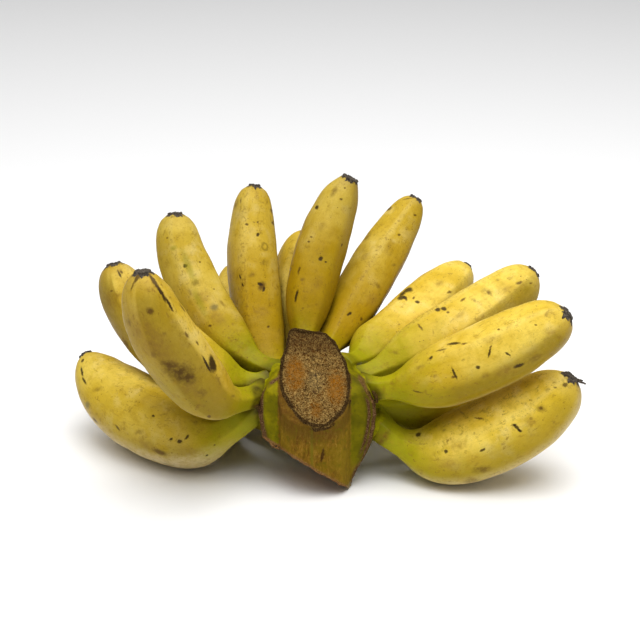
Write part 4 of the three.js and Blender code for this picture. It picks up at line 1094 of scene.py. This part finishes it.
    # slight mottle overall
    col = k.mix(1.0, col, k.mix(k.map(grain, 0.25, 0.75), (0.93, 0.93, 0.93), (1.04, 1.04, 1.04)), "MULTIPLY")
    pepper = k.t.nodes.new("ShaderNodeTexVoronoi")
    k.link(k.vec("ADD", p, (3.0, 17.0, 41.0)), pepper.inputs["Vector"])
    pepper.inputs["Scale"].default_value = 0.95
    psel = k.t.nodes.new("ShaderNodeSeparateColor")
    k.link(pepper.outputs["Color"], psel.inputs[0])
    pep = k.math("MULTIPLY", k.map(pepper.outputs["Distance"], 0.30, 0.10), k.math("GREATER_THAN", psel.outputs[0], 0.70))
    pep = k.math("MULTIPLY", pep, k.map(mid, 0.42, 0.62))
    col = k.mix(k.math("MULTIPLY", pep, 0.55), col, srgb(120, 88, 30))
    # painted light and shade: each finger's colour scaled lighter or darker for how much light reaches it
    light_shade_tone = LIGHT_SHADE_TONE.get(f.name)
    if light_shade_tone:
        col = k.mix(1.0, col, light_shade_tone, "MULTIPLY")
    k.colour(col)
    k.rough(k.map(k.math("ADD", mid, k.math("MULTIPLY", fine, 0.5)), 0.5, 1.0, 0.36, 0.56))
    h = k.math("MULTIPLY_ADD", fine, 0.5, k.math("MULTIPLY", grain, 0.16))
    h = k.math("ADD", h, k.math("MULTIPLY", streak, 0.45))
    if total is not None:
        h = k.math("SUBTRACT", h, k.math("MULTIPLY", total, 0.35))
    k.normal(k.bump(h, 0.5, 0.0007))
    return k.m


GREEN = {"finger_left_low": 0.85, "finger_right_low": 0.8, "finger_right_under": 1.6, "finger_left_mid": 1.25,
         "finger_left_front": 0.75, "finger_rear_left": 0.75, "finger_rear_centre": 0.7, "finger_rear_right": 0.7,
         "finger_left_high": 1.05, "finger_right_rear": 1.1, "finger_right_high": 1.05, "finger_right_mid": 1.0}
# where the pale underside begins, per finger: partly bloom, partly painted light from the floor
DUST_AND_BOUNCE_FROM = {"finger_left_low": 0.10, "finger_right_low": 0.25}
MOTTLE = {"finger_left_front": 1.40, "finger_right_low": 1.30, "finger_right_mid": 1.15, "finger_left_low": 1.15}
# painted light and shade: colour multipliers per finger for how much light reaches it
LIGHT_SHADE_TONE = {"finger_left_front": (0.92, 0.90, 0.94), "finger_left_outer": (0.84, 0.82, 0.84), "finger_rear_right": (0.84, 0.83, 0.80),
        "finger_rear_centre": (0.75, 0.74, 0.72), "finger_rear_left": (0.84, 0.83, 0.82), "finger_left_high": (0.80, 0.80, 0.80),
        "finger_right_low": (1.15, 1.18, 1.25), "finger_left_low": (1.0, 1.0, 1.0), "finger_right_mid": (1.05, 1.05, 1.05),
        "finger_right_under": (1.12, 1.12, 1.0)}
# painted shade towards the crown, per finger: strength, where it starts, where it is full (mm along the finger)
CROWN_SHADE = {"finger_rear_left": (0.86, 108.0, 44.0), "finger_rear_centre": (0.92, 112.0, 44.0), "finger_rear_right": (0.92, 112.0, 44.0),
        "finger_left_high": (0.68, 86.0, 28.0), "finger_right_low": (0.35, 80.0, 24.0), "finger_right_high": (0.42, 84.0, 26.0),
        "finger_right_rear": (0.50, 84.0, 26.0)}


def crown_material():
    k = Shader("crown_flesh", roughness=0.8, specular=0.05)
    p = k.attr("mm")
    xyz = k.t.nodes.new("ShaderNodeSeparateXYZ")
    k.link(p, xyz.inputs[0])
    x, y, z = xyz.outputs
    d = {n: k.attr("d_" + n, "Fac") for n in ("stalk", "oval", "body", "roots", "necks", "low", "top", "lips", "scabs", "rim", "seam")}
    n1 = k.noise(p, 0.10, 4.0, 0.6)
    n2 = k.noise(p, 0.45, 4.0, 0.65)
    n3 = k.noise(p, 1.6, 4.0, 0.65)

    # green wings
    green = k.mix(k.map(n1, 0.38, 0.62), srgb(110, 103, 2), srgb(138, 127, 4))
    green = k.mix(k.math("MULTIPLY", k.map(n2, 0.52, 0.70), 0.55), green, srgb(70, 74, 8))
    green = k.mix(k.math("MULTIPLY", k.map(n3, 0.56, 0.72), 0.35), green, srgb(96, 84, 30))
    col = green
    # painted shade: the right wing darker
    green = k.mix(k.math("MULTIPLY", k.map(x, 12.0, 20.0), 0.42), green, srgb(70, 66, 2))
    col = green
    # necks growing out of it
    neck = k.mix(k.map(n2, 0.35, 0.65), srgb(150, 144, 6), srgb(120, 116, 4))
    col = k.mix(k.map(k.math("MULTIPLY_ADD", n2, 3.0, d["necks"]), 5.5, 2.0), col, neck)
    # the stalk's skin, tan and fibrous
    sway = k.vec("SCALE", k.vec("SUBTRACT", k.noise(p, 0.16, 3.0, 0.6, colour=True), (0.5, 0.5, 0.5)), scale=5.0)
    fib = k.noise(k.vec("MULTIPLY", k.vec("ADD", p, sway), (0.95, 0.95, 0.12)), 1.0, 5.0, 0.7)
    fib2 = k.noise(k.vec("MULTIPLY", k.vec("ADD", p, (9.0, 3.0, 5.0)), (2.6, 2.6, 0.10)), 1.0, 3.0, 0.7)
    tan = k.ramp(k.map(fib, 0.28, 0.72, smooth_it=False), [(0.0, srgb(82, 52, 14)), (0.45, srgb(124, 90, 22)), (0.75, srgb(146, 110, 34)), (1.0, srgb(176, 142, 70))])
    tan = k.mix(k.math("MULTIPLY", k.map(fib2, 0.50, 0.72), 0.55), tan, srgb(84, 52, 16))
    tan = k.mix(k.math("MULTIPLY", k.map(n1, 0.42, 0.60), 0.60), tan, srgb(122, 100, 14))
    tan = k.mix(k.math("MULTIPLY", k.map(n2, 0.52, 0.66), 0.60), tan, srgb(92, 62, 18))
    tan = k.mix(k.math("MULTIPLY", k.map(n2, 0.46, 0.34), 0.40), tan, srgb(160, 124, 48))
    # a green strip left and a broader olive one right
    gs = k.math("MULTIPLY", k.map(k.math("ABSOLUTE", k.math("ADD", x, 2.0)), 1.1, 0.2), k.map(fib, 0.3, 0.6, 0.3, 0.8))
    tan = k.mix(gs, tan, srgb(112, 104, 24))
    gs2 = k.math("MULTIPLY", k.map(x, 6.0, 14.0), k.map(fib2, 0.35, 0.62, 0.2, 0.7))
    tan = k.mix(gs2, tan, srgb(134, 112, 24))
    # a dark slit in the skin
    mp = k.t.nodes.new("ShaderNodeMapping")
    mp.vector_type = "TEXTURE"
    k.link(k.vec("ADD", p, k.vec("SCALE", k.vec("SUBTRACT", k.noise(p, 0.8, 2.0, 0.6, colour=True), (0.5, 0.5, 0.5)), scale=1.2)), mp.inputs["Vector"])
    mp.inputs["Location"].default_value = (3.2, -24.5, 25.0)
    mp.inputs["Rotation"].default_value = (0.0, 0.16, 0.0)
    mp.inputs["Scale"].default_value = (0.9, 6.0, 4.6)
    slit = k.map(k.vec("LENGTH", mp.outputs[0]), 1.25, 0.55)
    tan = k.mix(k.math("MULTIPLY", slit, 0.85), tan, srgb(58, 34, 14))
    # painted shadow: the tan skin darker just under the overhanging cut face
    rim_shadow = k.map(k.math("ADD", d["top"], k.math("MULTIPLY_ADD", n2, 3.0, -1.5)), -9.0, -3.0)
    tan = k.mix(k.math("MULTIPLY", rim_shadow, 0.55), tan, srgb(78, 50, 22))
    is_tan = k.map(k.math("ADD", k.math("MULTIPLY_ADD", n3, 0.9, d["stalk"]), k.math("MULTIPLY_ADD", n2, 4.0, -2.0)), 1.7, 0.5)
    behind = k.map(y, 0.0, 4.0, 1.0, 0.0)
    col = k.mix(k.math("MULTIPLY", is_tan, k.map(y, -8.0, 2.0, 1.0, 0.55)), col, tan)

    corner = k.math("MULTIPLY", k.map(k.math("ADD", z, k.math("MULTIPLY_ADD", n2, 6.0, -3.0)), 17.0, 10.0), k.map(x, 6.0, 12.0))
    col = k.mix(k.math("MULTIPLY", corner, 0.9), col, tan)
    # bark lips
    bark = k.ramp(k.map(n3, 0.28, 0.72, smooth_it=False), [(0.0, srgb(40, 26, 12)), (0.5, srgb(88, 60, 32)), (1.0, srgb(146, 118, 82))])
    lip = k.map(k.math("ADD", d["lips"], k.math("MULTIPLY_ADD", n2, 0.9, -0.45)), 0.55, 0.10)
    col = k.mix(lip, col, bark)
    edge = k.math("MULTIPLY", k.map(d["lips"], 0.2, 0.5), k.map(d["lips"], 1.5, 0.6))
    col = k.mix(k.math("MULTIPLY", edge, 0.38), col, srgb(64, 48, 12))
    seam = k.map(k.math("ADD", d["seam"], k.math("MULTIPLY_ADD", n2, 1.0, -0.5)), 0.85, 0.30)
    col = k.mix(k.math("MULTIPLY", seam, 0.85), col, k.mix(k.map(n3, 0.36, 0.66), srgb(62, 38, 18), srgb(132, 98, 58)))
    scab = k.map(k.math("ADD", d["scabs"], k.math("MULTIPLY_ADD", n2, 2.6, -1.3)), 2.1, 0.8)
    col = k.mix(k.math("MULTIPLY", scab, 0.92), col, k.mix(k.map(n3, 0.4, 0.7), srgb(40, 24, 12), srgb(92, 62, 34)))

    # lower cut and its ragged edge
    lowd = k.math("ADD", k.math("ABSOLUTE", d["low"]), k.math("MULTIPLY_ADD", n2, 1.6, -0.8))
    lowc = k.ramp(k.map(n3, 0.30, 0.70, smooth_it=False), [(0.0, srgb(84, 54, 26)), (0.55, srgb(134, 92, 50)), (1.0, srgb(176, 144, 98))])
    col = k.mix(k.math("MULTIPLY", k.map(lowd, 1.6, 0.7), 0.9), col, lowc)
    tipg = k.math("MULTIPLY", k.map(k.math("ADD", z, k.math("MULTIPLY_ADD", n2, 5.0, -2.5)), 5.0, 1.0), k.map(x, 4.0, 10.0))
    col = k.mix(k.math("MULTIPLY", tipg, 0.75), col, srgb(150, 140, 112))

    # the cut face: brown pith with pale squiggly fibres
    w = k.vec("ADD", p, k.vec("SCALE", k.vec("SUBTRACT", k.noise(p, 0.7, 3.0, 0.6, colour=True), (0.5, 0.5, 0.5)), scale=1.6))
    c1 = k.math("ABSOLUTE", k.math("SUBTRACT", k.noise(w, 0.72, 2.0, 0.55), 0.5))
    c2 = k.math("ABSOLUTE", k.math("SUBTRACT", k.noise(k.vec("ADD", w, (17.0, 5.0, 9.0)), 0.90, 2.0, 0.55), 0.5))
    fibre = k.math("MAXIMUM", k.map(c1, 0.055, 0.012), k.math("MULTIPLY", k.map(c2, 0.050, 0.010), 0.8))
    pith = k.mix(k.map(n2, 0.36, 0.64), srgb(66, 40, 12), srgb(108, 72, 28))
    orange_l = k.t.nodes.new("ShaderNodeMapping")
    orange_l.vector_type = "TEXTURE"
    k.link(w, orange_l.inputs["Vector"])
    orange_l.inputs["Location"].default_value = (-10.6, -7.0, 61.3)
    orange_l.inputs["Scale"].default_value = (5.4, 8.5, 9.5)
    ol = k.map(k.vec("LENGTH", orange_l.outputs[0]), 1.35, 0.5)
    orange_r = k.t.nodes.new("ShaderNodeMapping")
    orange_r.vector_type = "TEXTURE"
    k.link(w, orange_r.inputs["Vector"])
    orange_r.inputs["Location"].default_value = (10.4, -12.0, 55.8)
    orange_r.inputs["Scale"].default_value = (5.2, 9.0, 9.8)
    orr = k.map(k.vec("LENGTH", orange_r.outputs[0]), 1.35, 0.5)
    orange_b = k.t.nodes.new("ShaderNodeMapping")
    orange_b.vector_type = "TEXTURE"
    k.link(w, orange_b.inputs["Vector"])
    orange_b.inputs["Location"].default_value = (0.3, -19.5, 47.7)
    orange_b.inputs["Scale"].default_value = (2.8, 4.6, 5.0)
    ob_ = k.map(k.vec("LENGTH", orange_b.outputs[0]), 1.4, 0.5)
    orange = k.math("MAXIMUM", k.math("MAXIMUM", ol, orr), k.math("MULTIPLY", ob_, 0.8))
    orange = k.math("MULTIPLY", orange, k.map(n2, 0.34, 0.56, 0.35, 1.0))
    pith = k.mix(k.math("MULTIPLY", orange, 0.90), pith, srgb(150, 92, 10))
    centre = k.t.nodes.new("ShaderNodeMapping")
    centre.vector_type = "TEXTURE"
    k.link(w, centre.inputs["Vector"])
    centre.inputs["Location"].default_value = (-0.4, -9.5, 58.6)
    centre.inputs["Scale"].default_value = (4.5, 6.0, 7.0)
    ce = k.map(k.vec("LENGTH", centre.outputs[0]), 1.3, 0.2)
    pith = k.mix(k.math("MULTIPLY", ce, 0.45), pith, srgb(98, 90, 66))
    upper = k.map(k.math("ADD", y, k.math("MULTIPLY_ADD", n1, 8.0, -4.0)), -4.0, 5.0)
    pith = k.mix(k.math("MULTIPLY", upper, 0.75), pith, srgb(66, 40, 14))
    brim = k.map(k.math("ADD", d["oval"], k.math("MULTIPLY_ADD", n2, 4.0, -2.0)), -4.2, -1.2)
    pith = k.mix(k.math("MULTIPLY", brim, 0.55), pith, srgb(58, 36, 14))
    light = k.math("MULTIPLY", fibre, k.map(n2, 0.30, 0.55, 0.55, 1.0))
    light = k.math("MULTIPLY", light, k.map(upper, 0.0, 1.0, 1.0, 0.45))
    light = k.math("MULTIPLY", light, k.map(orange, 0.0, 1.0, 1.0, 0.45))
    pith = k.mix(k.math("MULTIPLY", light, 0.92), pith, srgb(186, 152, 86))
    dark = k.math("MULTIPLY", k.map(n3, 0.48, 0.36), 0.7)
    pith = k.mix(dark, pith, srgb(42, 24, 8))
    is_face = k.math("MULTIPLY", k.map(d["top"], -1.25, -0.75), k.map(k.math("ADD", d["oval"], k.math("MULTIPLY_ADD", n3, 0.8, -0.4)), 0.3, -0.3))
    col = k.mix(is_face, col, pith)
    # dark torn rim
    rimc = k.ramp(k.map(n3, 0.30, 0.70, smooth_it=False), [(0.0, srgb(34, 22, 8)), (0.55, srgb(64, 44, 18)), (1.0, srgb(120, 98, 56))])
    is_rim = k.map(k.math("ADD", d["rim"], k.math("MULTIPLY_ADD", n2, 1.8, -0.9)), 0.7, 0.15)
    col = k.mix(is_rim, col, rimc)
    k.colour(col)
    k.rough(k.map(is_tan, 0.0, 1.0, 0.62, 0.85))
    h = k.math("ADD", k.math("MULTIPLY", n3, 0.5), k.math("MULTIPLY", n2, 0.4))
    h = k.math("ADD", h, k.math("MULTIPLY", k.math("MULTIPLY", fibre, is_face), 0.9))
    h = k.math("ADD", h, k.math("MULTIPLY", k.math("MULTIPLY", fib2, is_tan), 0.9))
    k.normal(k.bump(h, 0.8, 0.0006))
    return k.m


def dried_material():
    k = Shader("dried_flower_end", roughness=0.85, specular=0.3)
    p = k.attr("mm")
    n = k.noise(p, 1.1, 4.0, 0.7)
    n2 = k.noise(p, 3.2, 3.0, 0.7)
    col = k.ramp(k.map(n, 0.28, 0.74, smooth_it=False), [(0.0, srgb(30, 26, 20)), (0.45, srgb(68, 60, 50)), (0.75, srgb(106, 96, 82)), (1.0, srgb(146, 136, 118))])
    col = k.mix(k.math("MULTIPLY", k.map(n2, 0.52, 0.70), 0.45), col, srgb(70, 46, 26))
    k.colour(col)
    k.normal(k.bump(n2, 0.9, 0.0006))
    return k.m


# ---------------------------------------------------------------------------
# Build
# ---------------------------------------------------------------------------
fingers = [Finger(row) for row in FINGERS]
crown = crown_piece(fingers, crown_material())
dried = dried_material()
FLAPS = {
    "finger_right_low": [(165, 0.42, 1.8, 3.8), (195, 0.30, 1.2, 2.8)],
    "finger_left_low": [(180, 0.3, 1.0, 0.3)],
}
LINES = []
for f in fingers:
    at = np.linspace(0, f.length, 60)
    LINES.append((f.at(at), np.asarray(f.thickness(at))))
for i, f in enumerate(fingers):
    finger_piece(f, i, peel_material(f, i), LINES)
    end_piece(f, i, dried, FLAPS.get(f.name))

# ---------------------------------------------------------------------------
# Floor, light, camera
# ---------------------------------------------------------------------------
scene = bpy.context.scene
scene.view_settings.view_transform = "Standard"
scene.view_settings.look = "None"
scene.view_settings.exposure = 0.0
scene.view_settings.gamma = 1.0

bpy.ops.mesh.primitive_plane_add(size=6.0, location=(0, 0, 0))
floor = bpy.context.object
floor.name = "floor"
fm = Shader("floor_paper", roughness=0.9, specular=0.1)
fm.colour((0.92, 0.92, 0.92))
floor.data.materials.append(fm.m)

world = bpy.data.worlds.new("studio")
scene.world = world
world.use_nodes = True
world.node_tree.nodes["Background"].inputs[0].default_value = (1.0, 1.0, 1.0, 1.0)
world.node_tree.nodes["Background"].inputs[1].default_value = 0.20


def area(name, where, at, size, power, colour=(1, 1, 1), size_y=None):
    from mathutils import Vector
    data = bpy.data.lights.new(name, "AREA")
    data.shape = "RECTANGLE" if size_y else "SQUARE"
    data.size = size
    if size_y:
        data.size_y = size_y
    data.energy = power
    data.color = colour
    ob = bpy.data.objects.new(name, data)
    scene.collection.objects.link(ob)
    ob.location = where
    ob.rotation_euler = (Vector(at) - Vector(where)).to_track_quat("-Z", "Y").to_euler()
    return ob


area("softbox", (-0.15, -0.20, 3.0), (0, -0.02, 0), 4.5, 102.0)
area("key", (0.12, -0.26, 1.04), (0, 0, 0.05), 0.8, 8.0)

cam_data = bpy.data.cameras.new("camera")
cam_data.sensor_width = 36.0
cam_data.lens = 1295.0 / 640.0 * 36.0
cam_data.clip_start, cam_data.clip_end = 0.02, 20
cam = bpy.data.objects.new("camera", cam_data)
scene.collection.objects.link(cam)
tilt = math.radians(22.0)
look = np.array([2.04035197, 50.0, 67.20947552])
eye = look - 700.0 * np.array([0, math.cos(tilt), -math.sin(tilt)]) + SHIFT
cam.location = tuple(eye * MM)
cam.rotation_euler = (math.radians(90.0) - tilt, 0, 0)
scene.camera = cam
